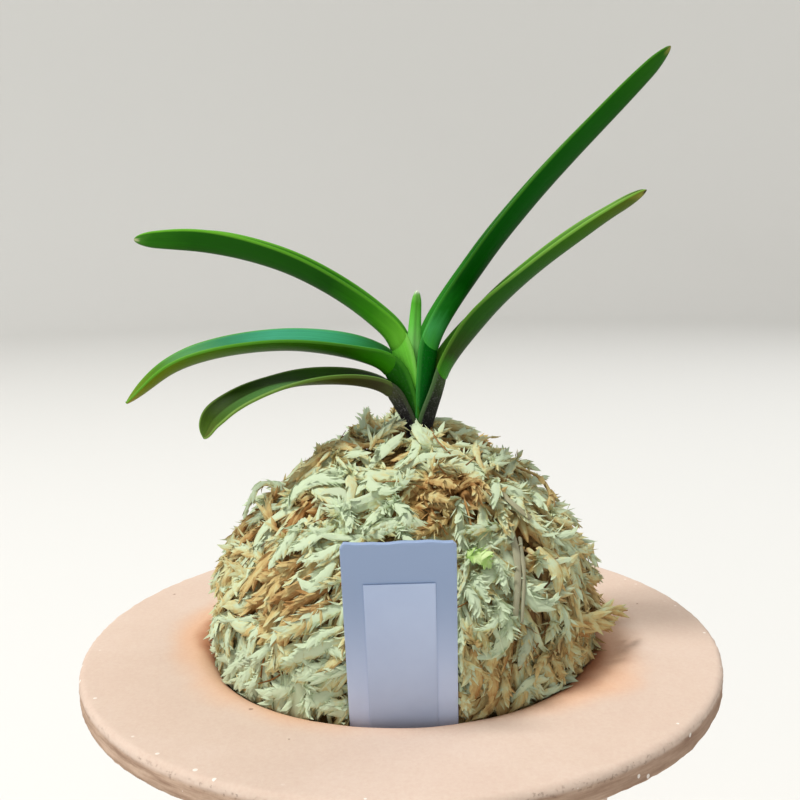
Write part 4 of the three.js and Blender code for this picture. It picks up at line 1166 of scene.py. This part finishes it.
# ---- leaves and their sheaths ------------------------------------------------------------------
# Each leaf is stiff, fleshy and folded along its midrib, waxy above and paler on its edges. It parts
# from its sheath at a crescent joint; the sheaths clasp one another round the short stem.
LEAF_STATIONS = {
    # shares of the sheath (below 0) and of the blade at which the forms of the leaves are given
    "even": (-1, -0.5, 0, 0.25, 0.5, 0.75, 0.9, 1), "early": (-1, -0.5, 0, 0.15, 0.35, 0.6, 0.8, 1),
    "steady": (-1, -0.5, 0, 0.2, 0.4, 0.6, 0.8, 1),
}
LEAVES = {
    # side, width of each half, half angle of the fold, turn towards the front, tip, how far out the
    # sheath wraps, joint, and middle line from the brim plane; in mm and degrees
    "leaf_left_upper": {
        "side": -1, "at": LEAF_STATIONS["even"], "leg": (3, 3.9, 5.4, 5.2, 5.3, 5.5, 4.3, 2.6),
        "fold": (36, 35, 32, 35, 32, 29, 27, 27), "roll": (0, 0, 1, 5, 4, 1, -7, -5),
        "tip": (0.93, 2, 0.5), "wrap": 1, "joint": (1, 59.5),
        "line": [(4.2, 0, 38), (3.9, 0, 46), (3, 0, 54), (0.6, 0, 62.1), (-4.1, 0.5, 66.9),
                 (-13.2, 1.8, 73.2), (-23.1, 3.5, 77.9), (-36.8, 5.5, 81.4), (-51.9, 6, 81.9)],
    },
    "leaf_left_middle": {
        "side": -1, "at": LEAF_STATIONS["early"], "leg": (3, 4.3, 5.4, 5.1, 4.9, 4.5, 4.1, 6.3),
        "fold": (36, 35, 33, 33, 47, 49, 48, 48), "roll": (0, 1, -9, 19, 14, 13, 12, 22),
        "tip": (0.7, 1.7, 0.8), "wrap": 3, "joint": (-0.5, 55.2),
        "line": [(4, 0, 37.5), (3.5, 0, 45), (1.9, -0.2, 51.3), (-0.9, -0.6, 56.7), (-6.1, -1.3, 59.3),
                 (-20.4, -3, 61.7), (-35.2, -6, 60.5), (-43.4, -7.3, 57.6), (-51.9, -8, 50.8)],
    },
    "leaf_left_lower": {
        "side": -1, "at": LEAF_STATIONS["steady"], "leg": (3, 3.8, 4.1, 4.3, 4.7, 4.2, 3.3, 4.3),
        "fold": (40, 50, 50, 52, 63, 83, 75, 74), "roll": (0, 0, -9, 3, 8, 15, 36, 43),
        "tip": (0.85, 2, 0.6), "wrap": 5, "joint": (-0.8, 50.9),
        "line": [(3.7, 0, 37), (3.5, -0.2, 43.1), (1.4, -0.5, 48), (-1.2, -1.3, 51.8), (-7.3, -3, 54.2),
                 (-20, -5.5, 54.3), (-29.4, -8.6, 51.6), (-34.9, -10.6, 47.8), (-36.6, -11.4, 44.3)],
    },
    "leaf_right_long": {
        "side": 1, "at": LEAF_STATIONS["even"], "leg": (3, 4, 5.6, 5.1, 5.3, 4.8, 4, 3.6),
        "fold": (40, 42, 39, 34, 40, 38, 35, 48), "roll": (0, 2, 5, 3, -1, -3, -6, 6),
        "tip": (0.92, 1.8, 0.6), "wrap": 2, "joint": (6.5, 59.2),
        "line": [(4.6, 0, 38), (4.9, 0, 46), (5.5, 0, 54), (6.8, 0, 61.7), (16.6, 0.6, 76.9),
                 (25.3, 2, 87.5), (34.4, 3.4, 97.2), (54.5, 5, 117)],
    },
    "leaf_right_short": {
        "side": 1, "at": LEAF_STATIONS["even"], "leg": (3, 4.1, 4.4, 6, 4.3, 3.7, 2.8, 3.3),
        "fold": (39, 35, 39, 50, 49, 42, 50, 48), "roll": (0, 1, 15, -9, 0, 4, 0, 3),
        "tip": (0.9, 1.8, 0.6), "wrap": 4, "joint": (8.7, 53.6),
        "line": [(4.9, 0, 37.5), (5.4, -0.2, 44), (7.1, -0.6, 50), (9.4, -1, 56.5), (17.1, -2.5, 66.7),
                 (26.5, -4.6, 75.3), (37.3, -6.6, 83.2), (47.2, -8, 89.2)],
    },
}
LEAF_THICKNESS = 1.0 * MM
MARGIN_THICKNESS = 0.62
KEEL_ROUND = 0.07
BOW = 0.05
JOINT_CRESCENT = 2.0 * MM
JOINT_RISE = 0.2 * MM
JOINT_LAP = 1.2 * MM
TIP_THINNING = 0.45
LAP_THINNING = 0.35
LAP_EASE = 0.4 * MM
WRAP_STEP = 0.22 * MM
BLADE_ROWS = 84
SHEATH_ROWS = 26
ACROSS = 12


def joint_share(curve, joint):
    spot = np.array((joint[0] * MM, joint[1] * MM + BRIM_TOP))
    return curve[1][np.argmin(np.hypot(curve[0][:, 0] - spot[0], curve[0][:, 2] - spot[1]))]


def eased(stops, values, at):
    """Values between stops, without corners."""
    grid = np.linspace(-1.2, 1.2, 481)
    bell = np.exp(-np.linspace(-3, 3, 61) ** 2 / 2)
    soft = np.convolve(np.pad(np.interp(grid, stops, values), 30, mode="edge"), bell / bell.sum(), "valid")
    return np.interp(at, grid, soft)


def folded(leaf, curve, joint, share, v):
    """The middle of the leaf's thickness at a share of its length, v from -1 to 1 across."""
    s = np.where(share < joint, share / joint - 1, (share - joint) / (1 - joint))
    start, power, blunt = leaf["tip"]
    narrow = np.maximum((1 - np.clip((s - start) / (1 - start), 0, 1) ** power), 0) ** blunt
    leg = eased(leaf["at"], leaf["leg"], s) * MM * np.maximum(narrow, 0.02)
    fold = np.radians(eased(leaf["at"], leaf["fold"], s))
    roll = np.radians(eased(leaf["at"], leaf["roll"], s)) * leaf["side"]
    away = np.sqrt(v ** 2 + KEEL_ROUND ** 2) - KEEL_ROUND
    bow = leg * BOW * (1 - (2 * np.abs(v) - 1) ** 2)
    x = v * leg * np.sin(fold) + np.sign(v) * bow * np.cos(fold)
    y = away * leg * np.cos(fold) - bow * np.sin(fold) - leg * np.cos(fold) / 2
    low = np.clip(1 - share / joint, 0, 1)
    x = x + np.sign(v) * np.abs(v) ** 0.6 * low * leaf["wrap"] * WRAP_STEP
    here, ahead = on_line(curve, share)
    across = unit(np.array((0, 1, 0)) - ahead * ahead[..., 1:2])
    upper = np.cross(ahead, across) * leaf["side"]
    c, s = np.cos(roll)[..., None], np.sin(roll)[..., None]
    turned_upper = upper * c + np.cross(ahead, upper) * s
    turned_across = across * c + np.cross(ahead, across) * s
    return here + turned_across * x[..., None] + turned_upper * y[..., None]


def leaf_stretch(name, leaf, blade, rows, dense_tip):
    """The blade or the sheath: a grid laid on the leaf's form, then given its thickness."""
    curve = smooth_line(leaf["line"])
    joint = joint_share(curve, leaf["joint"])
    deselect()
    bpy.ops.mesh.primitive_grid_add(x_subdivisions=rows, y_subdivisions=ACROSS, size=2)
    piece = bpy.context.object
    piece.name = name
    flat = np.array([v.co[:] for v in piece.data.vertices])
    u = 1 - (1 - (flat[:, 0] + 1) / 2) ** dense_tip
    v = flat[:, 1]
    crescent = joint + (JOINT_CRESCENT * np.abs(v) ** 2.2 - JOINT_RISE) / curve[2]
    lap = crescent + JOINT_LAP / curve[2]
    share = crescent + (1 - crescent) * u if blade else lap * u
    places = folded(leaf, curve, joint, share, v)
    piece.data.vertices.foreach_set("co", places.ravel())
    if leaf["side"] > 0:
        piece.data.flip_normals()
    thick = piece.vertex_groups.new(name="thick")
    on_blade = np.clip((share - joint) / (1 - joint), 0, 1)
    weight = (1 - (1 - MARGIN_THICKNESS) * np.abs(v) ** 2) * (1 - TIP_THINNING * on_blade ** 8)
    # the sheath is thinner where the blade sits over its end
    if not blade:
        weight = weight * (1 - LAP_THINNING * np.clip((share - crescent) * curve[2] / LAP_EASE + 1, 0, 1))
    for i, w in enumerate(weight):
        thick.add([i], float(w), "REPLACE")
    bpy.ops.object.modifier_add(type="SOLIDIFY")
    wall = piece.modifiers[-1]
    wall.thickness = LEAF_THICKNESS
    wall.offset = 0
    wall.vertex_group = "thick"
    bpy.ops.object.modifier_apply(modifier=wall.name)
    for title, values in (("along", on_blade), ("across", v), ("length", share / joint)):
        marked(piece.data, title, np.concatenate([values, values]))
    spots = np.array([p.co[:] for p in piece.data.vertices])
    half = len(places)
    outer = spots[:half] - spots[half:]
    _, ahead = on_line(curve, share)
    across = unit(np.array((0, 1, 0)) - ahead * ahead[..., 1:2])
    first_is_upper = (outer * np.cross(ahead, across) * leaf["side"]).sum() > 0
    marked(piece.data, "upper", np.repeat([1.0, 0.0] if first_is_upper else [0.0, 1.0], half))
    bpy.ops.object.modifier_add(type="SUBSURF")
    rounder = piece.modifiers[-1]
    rounder.levels = 1
    rounder.render_levels = 1
    bpy.ops.object.modifier_apply(modifier=rounder.name)
    bpy.ops.object.shade_smooth()
    return piece


def leaf_finish(name, outer, inner, edge, edge_width, gloss=(0.08, 0.46), inner_front=None):
    """Waxy leaf skin: colours along its under face, its upper face and the upper face's front half."""
    skin = finish(name, {"Specular IOR Level": gloss[0], "Roughness": gloss[1]})
    along = carried(skin, "along")
    across = carried(skin, "across")
    upper = carried(skin, "upper")
    spread = node(skin, "ShaderNodeCombineXYZ", {0: along, 1: across, 2: upper}).outputs[0]
    cloudy = maths(skin, "SUBTRACT", noise(skin, stretched(skin, spread, (6.0, 1.5, 1.0)), 2.0, 4.0), 0.5)
    where = maths(skin, "ADD", along, maths(skin, "MULTIPLY", cloudy, 0.08))
    reach = maths(skin, "ABSOLUTE", across)
    tint = tones(skin, where, outer)
    # painted shade: the under face is painted darker towards the fold along the midrib
    keel_shade = band(skin, reach, 0.40, 0.0)
    tint = mix(skin, maths(skin, "MULTIPLY", keel_shade, 0.35), tint, colour(30, 38, 2))
    lining = tones(skin, where, inner)
    if inner_front:
        lining = mix(skin, band(skin, across, 0.0, -0.16), lining, tones(skin, where, inner_front))
    tint = mix(skin, band(skin, upper, 0.3, 0.7), tint, lining)
    veins = noise(skin, stretched(skin, spread, (1.6, 40.0, 1.0)), 1.0, 3.0, 0.6)
    vein_tone = tones(skin, veins, [(0.35, (0.36, 0.36, 0.36, 1)), (0.65, (0.60, 0.60, 0.60, 1))])
    tint = mix(skin, 0.6, tint, vein_tone, "OVERLAY")
    rim = band(skin, reach, 1 - edge_width, 1 - edge_width * 0.3)
    rim = maths(skin, "MULTIPLY", rim, band(skin, along, 0.1, 0.85, 0.3, 0.85))
    tint = mix(skin, rim, tint, edge)
    ribs = relief(skin, veins, 0.07 * MM, 0.5)
    pitted = relief(skin, noise(skin, place(skin), 1800.0, 2.0), 0.025 * MM, 0.35, ribs)
    into_shader(skin, Base_Color=tint, Normal=pitted)
    return skin


PALE_EDGE = colour(104, 176, 44)
LEAF_SKINS = {
    "leaf_left_upper": leaf_finish(
        "upper_leaf_skin",
        [(0.00, colour(112, 190, 56)), (0.06, colour(92, 170, 40)), (0.16, colour(52, 128, 12)),
         (0.32, colour(20, 76, 0)), (0.80, colour(24, 88, 0)), (0.95, colour(42, 110, 12)),
         (0.985, colour(70, 130, 40)), (1.00, colour(180, 190, 140))],
        [(0.00, colour(80, 156, 44)), (0.30, colour(40, 112, 12)), (1.00, colour(76, 140, 30))],
        PALE_EDGE, 0.13),
    "leaf_left_middle": leaf_finish(
        "middle_leaf_skin",
        [(0.00, colour(52, 132, 6)), (0.10, colour(40, 112, 4)), (0.20, colour(34, 78, 0)),
         (0.50, colour(48, 96, 2)), (0.72, colour(74, 110, 2)), (0.92, colour(108, 126, 8)),
         (1.00, colour(134, 130, 30))],
        # on the upper face, the teal stops from 0.10 to 0.60 are a painted reflection of bluish sky light
        [(0.00, colour(84, 150, 56)), (0.10, colour(58, 152, 80)), (0.22, colour(66, 168, 120)),
         (0.45, colour(72, 172, 134)), (0.60, colour(50, 138, 92)), (0.74, colour(62, 142, 66)),
         (0.86, colour(78, 130, 24)), (1.00, colour(116, 142, 30))],
        colour(88, 160, 40), 0.12, (0.14, 0.40),
        # the teal stop at 0.12 of the front half is the same painted reflection
        [(0.00, colour(84, 150, 56)), (0.12, colour(60, 150, 90)), (0.26, colour(60, 140, 60)),
         (0.40, colour(56, 112, 18)), (0.70, colour(70, 116, 8)), (1.00, colour(116, 142, 30))]),
    "leaf_left_lower": leaf_finish(
        "lower_leaf_skin",
        [(0.00, colour(76, 84, 50)), (0.10, colour(58, 56, 34)), (0.26, colour(50, 52, 10)),
         (0.40, colour(56, 72, 4)), (0.70, colour(60, 92, 18)), (1.00, colour(64, 92, 20))],
        [(0.00, colour(50, 66, 36)), (0.15, colour(44, 62, 30)), (0.35, colour(44, 84, 16)),
         (0.55, colour(34, 66, 6)), (0.75, colour(34, 60, 0)), (0.90, colour(44, 68, 2)),
         (1.00, colour(66, 92, 26))],
        colour(118, 152, 66), 0.20, (0.10, 0.44),
        [(0.00, colour(110, 146, 70)), (0.20, colour(88, 136, 64)), (0.45, colour(66, 112, 52)),
         (0.70, colour(66, 110, 48)), (0.88, colour(62, 94, 26)), (1.00, colour(80, 92, 30))]),
    "leaf_right_long": leaf_finish(
        "long_leaf_skin",
        # the bluish-green stop at 0.06 is a painted highlight near the leaf's base
        [(0.00, colour(72, 176, 60)), (0.06, colour(76, 176, 92)), (0.12, colour(30, 122, 30)),
         (0.20, colour(0, 74, 0)), (0.50, colour(2, 80, 0)), (0.78, colour(16, 84, 0)),
         (0.97, colour(34, 94, 6)), (1.00, colour(140, 140, 60))],
        [(0.00, colour(60, 150, 50)), (0.30, colour(10, 88, 4)), (0.60, colour(16, 92, 4)),
         (1.00, colour(66, 120, 30))],
        colour(66, 128, 30), 0.11),
    "leaf_right_short": leaf_finish(
        "short_leaf_skin",
        [(0.00, colour(56, 140, 10)), (0.06, colour(42, 112, 4)), (0.12, colour(38, 66, 0)),
         (0.26, colour(28, 80, 0)), (0.50, colour(28, 84, 0)), (0.75, colour(50, 96, 0)),
         (0.94, colour(76, 96, 4)), (0.985, colour(130, 130, 40)), (1.00, colour(16, 12, 8))],
        [(0.00, colour(70, 116, 30)), (0.40, colour(66, 122, 38)), (0.90, colour(84, 132, 30)),
         (1.00, colour(50, 50, 16))],
        colour(120, 172, 64), 0.14, (0.09, 0.40)),
}
for name, leaf in LEAVES.items():
    blade_piece = leaf_stretch("blade_of_" + name, leaf, True, BLADE_ROWS, 1.7)
    blade_piece.data.materials.append(LEAF_SKINS[name])
    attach(blade_piece, "root")
    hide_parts(name)


def sheath_finish(name, stops, edge, stripe, bloom):
    """Sheath skin: fine ribs, colours from the base up to the joint, and a pale thin margin."""
    skin = finish(name, {"Roughness": 0.55, "Specular IOR Level": 0.10})
    length = carried(skin, "length")
    across = carried(skin, "across")
    spread = node(skin, "ShaderNodeCombineXYZ", {0: length, 1: across, 2: 0.0}).outputs[0]
    cloudy = maths(skin, "SUBTRACT", noise(skin, stretched(skin, spread, (5.0, 4.0, 1.0)), 1.0, 5.0), 0.5)
    where = maths(skin, "ADD", length, maths(skin, "MULTIPLY", cloudy, 0.25))
    tint = tones(skin, where, stops)
    ribs = noise(skin, stretched(skin, spread, (2.0, 26.0, 1.0)), 1.0, 4.0, 0.65)
    rib_tone = tones(skin, ribs, [(0.35, (0.30, 0.30, 0.30, 1)), (0.65, (0.72, 0.72, 0.72, 1))])
    tint = mix(skin, stripe, tint, rib_tone, "OVERLAY")
    dusty = band(skin, noise(skin, place(skin), 2400.0, 3.0, 0.7), 0.52, 0.66)
    tint = mix(skin, maths(skin, "MULTIPLY", dusty, bloom), tint, colour(120, 118, 122))
    rim = band(skin, maths(skin, "ABSOLUTE", across), 0.78, 0.92)
    tint = mix(skin, maths(skin, "MULTIPLY", rim, 0.75), tint, edge)
    into_shader(skin, Base_Color=tint, Normal=relief(skin, ribs, 0.16 * MM, 0.8))
    return skin


SHEATH_SKINS = {
    "leaf_left_upper": sheath_finish(
        "upper_sheath_skin", [(0.0, colour(56, 84, 36)), (0.3, colour(92, 170, 44)),
                              (0.9, colour(112, 202, 62))], colour(134, 210, 92), 0.4, 0.0),
    "leaf_left_middle": sheath_finish(
        "middle_sheath_skin", [(0.0, colour(26, 22, 26)), (0.35, colour(30, 44, 16)),
                               (0.6, colour(20, 84, 4)), (0.9, colour(26, 96, 4))],
        colour(60, 130, 30), 0.4, 0.1),
    "leaf_left_lower": sheath_finish(
        "lower_sheath_skin", [(0.0, colour(14, 12, 16)), (0.45, colour(24, 20, 28)),
                              (0.78, colour(40, 40, 38)), (1.0, colour(64, 68, 46))],
        colour(66, 76, 52), 0.9, 0.5),
    "leaf_right_long": sheath_finish(
        "long_sheath_skin", [(0.0, colour(20, 36, 24)), (0.3, colour(16, 100, 32)),
                             (0.9, colour(4, 112, 20))], colour(60, 146, 56), 0.5, 0.12),
    "leaf_right_short": sheath_finish(
        "short_sheath_skin", [(0.0, colour(10, 8, 10)), (0.45, colour(20, 18, 22)),
                              (0.75, colour(30, 36, 24)), (0.95, colour(46, 66, 22))],
        colour(84, 116, 70), 0.9, 0.35),
}
for name, leaf in LEAVES.items():
    sheath = leaf_stretch("sheath_of_" + name, leaf, False, SHEATH_ROWS, 1.0)
    sheath.data.materials.append(SHEATH_SKINS[name])
    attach(sheath, "root")
    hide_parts("stem_with_sheaths")


# ---- new leaf ----------------------------------------------------------------------------------
# The newest leaf stands upright between the others, still folded shut: a soft blunt finger in light
# green with a whitish tip, its two halves meeting in a fine groove.
NEW_LEAF = {
    "line": [(4.3, 0, 40), (4.1, 0, 47), (3.9, 0, 54), (3.9, 0, 61), (4.6, 0, 70.9)],
    "joint": (3.9, 54.15), "leg": 3.2, "shut": 0.34, "taper": 0.44, "blunt": 0.16, "base": 0.55,
    "swell": 0.33,
}
NEW_LEAF_RINGS = 40
NEW_LEAF_SIDES = 28
NEW_LEAF_BELOW = 0.18
GROOVE_DEPTH = 0.10
GROOVE_HALF_ANGLE = 14

new_line = smooth_line(NEW_LEAF["line"])
new_start = joint_share(new_line, NEW_LEAF["joint"])
deselect()
bpy.ops.mesh.primitive_uv_sphere_add(segments=NEW_LEAF_SIDES, ring_count=NEW_LEAF_RINGS, radius=1)
new_leaf = bpy.context.object
new_leaf.name = "new_leaf"
ball = np.array([v.co[:] for v in new_leaf.data.vertices])
rise = np.degrees(np.arcsin(np.clip(ball[:, 2], -1, 1))) / 180 + 0.5
share = new_start - NEW_LEAF_BELOW + (1 - new_start + NEW_LEAF_BELOW) * (1 - (1 - rise) ** 1.5)
s = np.clip((share - new_start) / (1 - new_start), 0, 1)
swell = NEW_LEAF["base"] + (1 - NEW_LEAF["base"]) * np.minimum(1, s / NEW_LEAF["swell"])
rounded = np.sqrt(1 - np.clip((s - 1 + NEW_LEAF["blunt"]) / NEW_LEAF["blunt"], 0, 1) ** 2)
height = NEW_LEAF["leg"] * MM * (1 - NEW_LEAF["taper"] * s ** 1.6) * rounded * swell
height = height * np.clip(rise / 0.03, 0, 1)
ring = np.hypot(ball[:, 0], ball[:, 1])
angle = np.arctan2(ball[:, 1], ball[:, 0])
open_ring = np.where(ring > 1e-5, 1.0, 0.0)
groove = 1 - GROOVE_DEPTH * np.exp(-((np.degrees(angle) - 90) / GROOVE_HALF_ANGLE) ** 2)
here, ahead = on_line(new_line, share)
side_way = unit(np.array((0, 1, 0)) - ahead * ahead[:, 1:2])
up_way = -np.cross(ahead, side_way)
width = NEW_LEAF["shut"] * height * np.cos(angle) * open_ring
depth = height / 2 * np.sin(angle) * open_ring * groove
skin_places = here + side_way * width[:, None] + up_way * depth[:, None]
new_leaf.data.vertices.foreach_set("co", skin_places.ravel())
for mark, values in (("along", s), ("across", np.sin(angle)), ("upper", np.zeros_like(s))):
    marked(new_leaf.data, mark, values)
bpy.ops.object.mode_set(mode="EDIT")
bpy.ops.mesh.select_all(action="SELECT")
bpy.ops.mesh.normals_make_consistent(inside=False)
bpy.ops.object.mode_set(mode="OBJECT")
bpy.ops.object.shade_smooth()
# the brightest stops, up to 0.34, are partly the young leaf's own pale green and partly painted light
# against the shade low on it
young = [(0.00, colour(176, 250, 136)), (0.34, colour(172, 250, 140)), (0.60, colour(116, 212, 84)),
         (0.85, colour(82, 172, 44)), (0.95, colour(112, 180, 80)), (1.00, colour(236, 240, 226))]
new_leaf.data.materials.append(leaf_finish("new_leaf_skin", young, young, colour(130, 204, 90), 0.05))
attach(new_leaf, "root")
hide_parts("leaf_centre_new")


# ---- stem and roots ----------------------------------------------------------------------------
# A short brown stem hidden by the sheaths, with fleshy silver-grey roots that run down through the
# moss to green growing points.
STEM_X = 4.2 * MM
STEM_ENDS = (32.6 * MM, 53.8 * MM)
STEM_TURNS = 24
STEM_RINGS = [(2.6, 33), (2.5, 38), (2.2, 44), (1.7, 50), (1.2, 53.6)]
ROOT_RUNS = [
    [(4.3, 0, 35), (8, -5, 30), (17, -12, 14), (20, -8, -10), (15, 6, -30)],
    [(4.3, 0, 35), (-2, -4, 30), (-14, -8, 16), (-22, -2, -6), (-16, 12, -34)],
    [(4.3, 0, 35), (7, 6, 29), (14, 18, 12), (8, 24, -14), (-6, 20, -26)],
    [(4.3, 0, 35), (0, 3, 29), (-8, 12, 10), (-4, 10, -22), (4, -2, -46)],
]
ROOT_RADIUS = 1.7 * MM
ROOT_SIDES = 16
ROOT_RINGS = 60

stem_profile = [(0, BRIM_TOP + STEM_ENDS[0])] + [(r * MM, BRIM_TOP + z * MM) for r, z in STEM_RINGS]
stem_profile.append((0, BRIM_TOP + STEM_ENDS[1]))
stem = turned("stem", stem_profile, STEM_TURNS, closed=False)
stem.data.transform(Matrix.Translation((STEM_X, 0, 0)))
bark = finish("stem_skin", {"Roughness": 0.7})
bark_tone = noise(bark, stretched(bark, place(bark), (300.0, 300.0, 900.0)), 1.0, 4.0)
bark_colour = tones(bark, bark_tone, [(0.35, colour(52, 42, 30)), (0.65, colour(96, 88, 52))])
into_shader(bark, Base_Color=bark_colour)
stem.data.materials.append(bark)
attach(stem, "root")
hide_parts("stem_with_sheaths")

root_skin = finish("root_skin", {"Roughness": 0.8, "Specular IOR Level": 0.2})
root_along = carried(root_skin, "along")
silver = tones(root_skin, noise(root_skin, place(root_skin), 900.0, 4.0), [
    (0.35, colour(168, 166, 150)), (0.65, colour(214, 212, 198))])
growing = band(root_skin, root_along, 0.93, 0.97)
into_shader(root_skin, Base_Color=mix(root_skin, growing, silver, colour(120, 168, 92)))
for number, run in enumerate(ROOT_RUNS, 1):
    root_line = smooth_line(run)
    corners, faces = rod(ROOT_SIDES, ROOT_RINGS)
    here, ahead = on_line(root_line, corners[:, 0])
    side_way = unit(np.cross(ahead, np.array((0.3, 1.0, 0.2))))
    up_way = np.cross(side_way, ahead)
    thick = ROOT_RADIUS * 2 * (1 - 0.75 * np.clip((corners[:, 0] - 0.95) / 0.05, 0, 1) ** 2)[:, None]
    skin_places = here + side_way * corners[:, 1:2] * thick + up_way * corners[:, 2:3] * thick
    mesh = bpy.data.meshes.new(f"root_{number}")
    mesh.from_pydata(skin_places, [], faces)
    marked(mesh, "along", corners[:, 0])
    mesh.polygons.foreach_set("use_smooth", np.full(len(mesh.polygons), True))
    mesh.materials.append(root_skin)
    root = bpy.data.objects.new(f"root_{number}", mesh)
    bpy.context.scene.collection.objects.link(root)
    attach(root, "root")
    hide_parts("stem_with_sheaths")


# ---- label -------------------------------------------------------------------------------------
# A strip of stiff white plastic pushed down between moss and lip, cut to a point at its hidden end,
# with a bare strip of label tape stuck on its face.
LABEL_POINT = 12 * MM
LABEL_CORNER = 0.6 * MM
LABEL_BEVEL = 0.14 * MM
TAPE_WIDTH = 11.8 * MM
TAPE_TOP = 26.4 * MM
TAPE_BOTTOM = -12 * MM
TAPE_THICKNESS = 0.16 * MM
TAPE_GAP = 0.02 * MM
TAPE_BEVEL = 0.04 * MM
TAPE_CURL = 0.10 * MM
TAPE_CURL_LENGTH = 1.2 * MM
BOW_DEPTH = 0.09 * MM
BOW_START = 4 * MM
BOW_TURN = 60
POINT_HALF_WIDTH = 2 * MM
DENTS = [
    # across, up, size, depth: small knocks in the plastic
    (-7.0 * MM, 2.6 * MM, 0.9 * MM, 0.16 * MM), (-0.6 * MM, 4.2 * MM, 1.3 * MM, 0.12 * MM),
    (3.6 * MM, 2.4 * MM, 1.0 * MM, 0.12 * MM), (7.6 * MM, 1.2 * MM, 0.7 * MM, 0.12 * MM),
]


def slip(name, width, top, bottom, thickness, columns, rows):
    """A thin upright sheet in the label's own frame, its front face at z 0."""
    deselect()
    bpy.ops.mesh.primitive_grid_add(x_subdivisions=columns, y_subdivisions=rows, size=1)
    sheet = bpy.context.object
    sheet.name = name
    bpy.ops.object.mode_set(mode="EDIT")
    bpy.ops.mesh.select_all(action="SELECT")
    bpy.ops.transform.resize(value=(width, top - bottom, 1))
    bpy.ops.transform.translate(value=(0, (top + bottom) / 2, 0))
    bpy.ops.object.mode_set(mode="OBJECT")
    bpy.ops.object.modifier_add(type="SOLIDIFY")
    sheet.modifiers[-1].thickness = thickness
    sheet.modifiers[-1].offset = -1
    bpy.ops.object.modifier_apply(modifier=sheet.modifiers[-1].name)
    return sheet


def off_flat(x, y):
    """How far the label's face bows out, less its dents, at a place across and up."""
    sunk = sum(sink * math.exp(-(((x - across) / size) ** 2 + ((y - up) / size * 1.6) ** 2))
               for across, up, size, sink in DENTS)
    return BOW_DEPTH * math.sin((y + BOW_START) * BOW_TURN) - sunk


def finished_sheet(sheet, bevel):
    """Rounds the edges of a sheet and puts it where the label stands."""
    bpy.ops.object.modifier_add(type="BEVEL")
    sheet.modifiers[-1].width = bevel
    sheet.modifiers[-1].segments = 2
    sheet.modifiers[-1].limit_method = "ANGLE"
    bpy.ops.object.modifier_apply(modifier=sheet.modifiers[-1].name)
    sheet.data.transform(label_frame)
    bpy.ops.object.shade_smooth_by_angle(angle=math.radians(40))


label_top = LABEL_ABOVE / math.cos(LABEL_LEAN)
label = slip("plant_label", LABEL_WIDTH, label_top, -LABEL_BELOW, LABEL_THICKNESS, 36, 120)
for vertex in label.data.vertices:
    x, y, z = vertex.co
    room = min(1.0, (y + LABEL_BELOW) / LABEL_POINT)
    half = POINT_HALF_WIDTH + (LABEL_WIDTH / 2 - POINT_HALF_WIDTH) * room
    corner = max(0.0, y - (label_top - LABEL_CORNER))
    x = x / (LABEL_WIDTH / 2) * (half - corner)
    if y > label_top - 0.4 * MM:
        y += 0.10 * MM * math.sin(x * 520) + 0.06 * MM * math.sin(x * 1330 + 1)
    vertex.co = (x, y, z + off_flat(x, y))
finished_sheet(label, LABEL_BEVEL)

plastic = finish("label_plastic", {"Roughness": 0.42, "Specular IOR Level": 0.4})
plastic_at = place(plastic)
streaky = noise(plastic, stretched(plastic, plastic_at, (120.0, 120.0, 40.0)), 1.0, 4.0)
plastic_tone = tones(plastic, streaky, [(0.3, colour(190, 208, 242)), (0.7, colour(198, 214, 246))])
plastic_height = node(plastic, "ShaderNodeSeparateXYZ", {"Vector": plastic_at}).outputs[2]
# painted shade: the face is painted darker and bluer towards its top and lighter low down, where light
# comes back off the brim
shaded_top_share = band(plastic, plastic_height, BRIM_TOP, BRIM_TOP + 26 * MM)
plastic_tone = mix(plastic, shaded_top_share, plastic_tone, colour(146, 166, 200))
stains = specks(plastic, plastic_at, 260.0, 0.07, 0.14)
plastic_tone = mix(plastic, maths(plastic, "MULTIPLY", stains, 0.5), plastic_tone, colour(120, 116, 120))
plastic_bump = relief(plastic, noise(plastic, plastic_at, 300.0, 3.0), 0.05 * MM, 0.35)
into_shader(plastic, Base_Color=plastic_tone, Normal=plastic_bump)
label.data.materials.append(plastic)
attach(label, "root")
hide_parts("label")

tape = slip("label_tape_strip", TAPE_WIDTH, TAPE_TOP, TAPE_BOTTOM, TAPE_THICKNESS, 24, 60)
for vertex in tape.data.vertices:
    x, y, z = vertex.co
    near_end = max(0.0, (y - (TAPE_TOP - TAPE_CURL_LENGTH)) / TAPE_CURL_LENGTH)
    z += TAPE_THICKNESS + TAPE_GAP + off_flat(x, y) + TAPE_CURL * near_end ** 2
    vertex.co = (x, y, z)
finished_sheet(tape, TAPE_BEVEL)
film = finish("tape_film", {"Roughness": 0.30, "Specular IOR Level": 0.45, "Coat Weight": 0.2,
                            "Coat Roughness": 0.2})
film_at = place(film)
film_tone = tones(film, noise(film, film_at, 90.0, 4.0), [(0.3, colour(174, 192, 226)),
                                                         (0.7, colour(182, 200, 232))])
film_bump = relief(film, noise(film, film_at, 240.0, 3.0), 0.05 * MM, 0.4)
into_shader(film, Base_Color=film_tone, Normal=film_bump)
tape.data.materials.append(film)
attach(tape, "root")
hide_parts("label_tape")
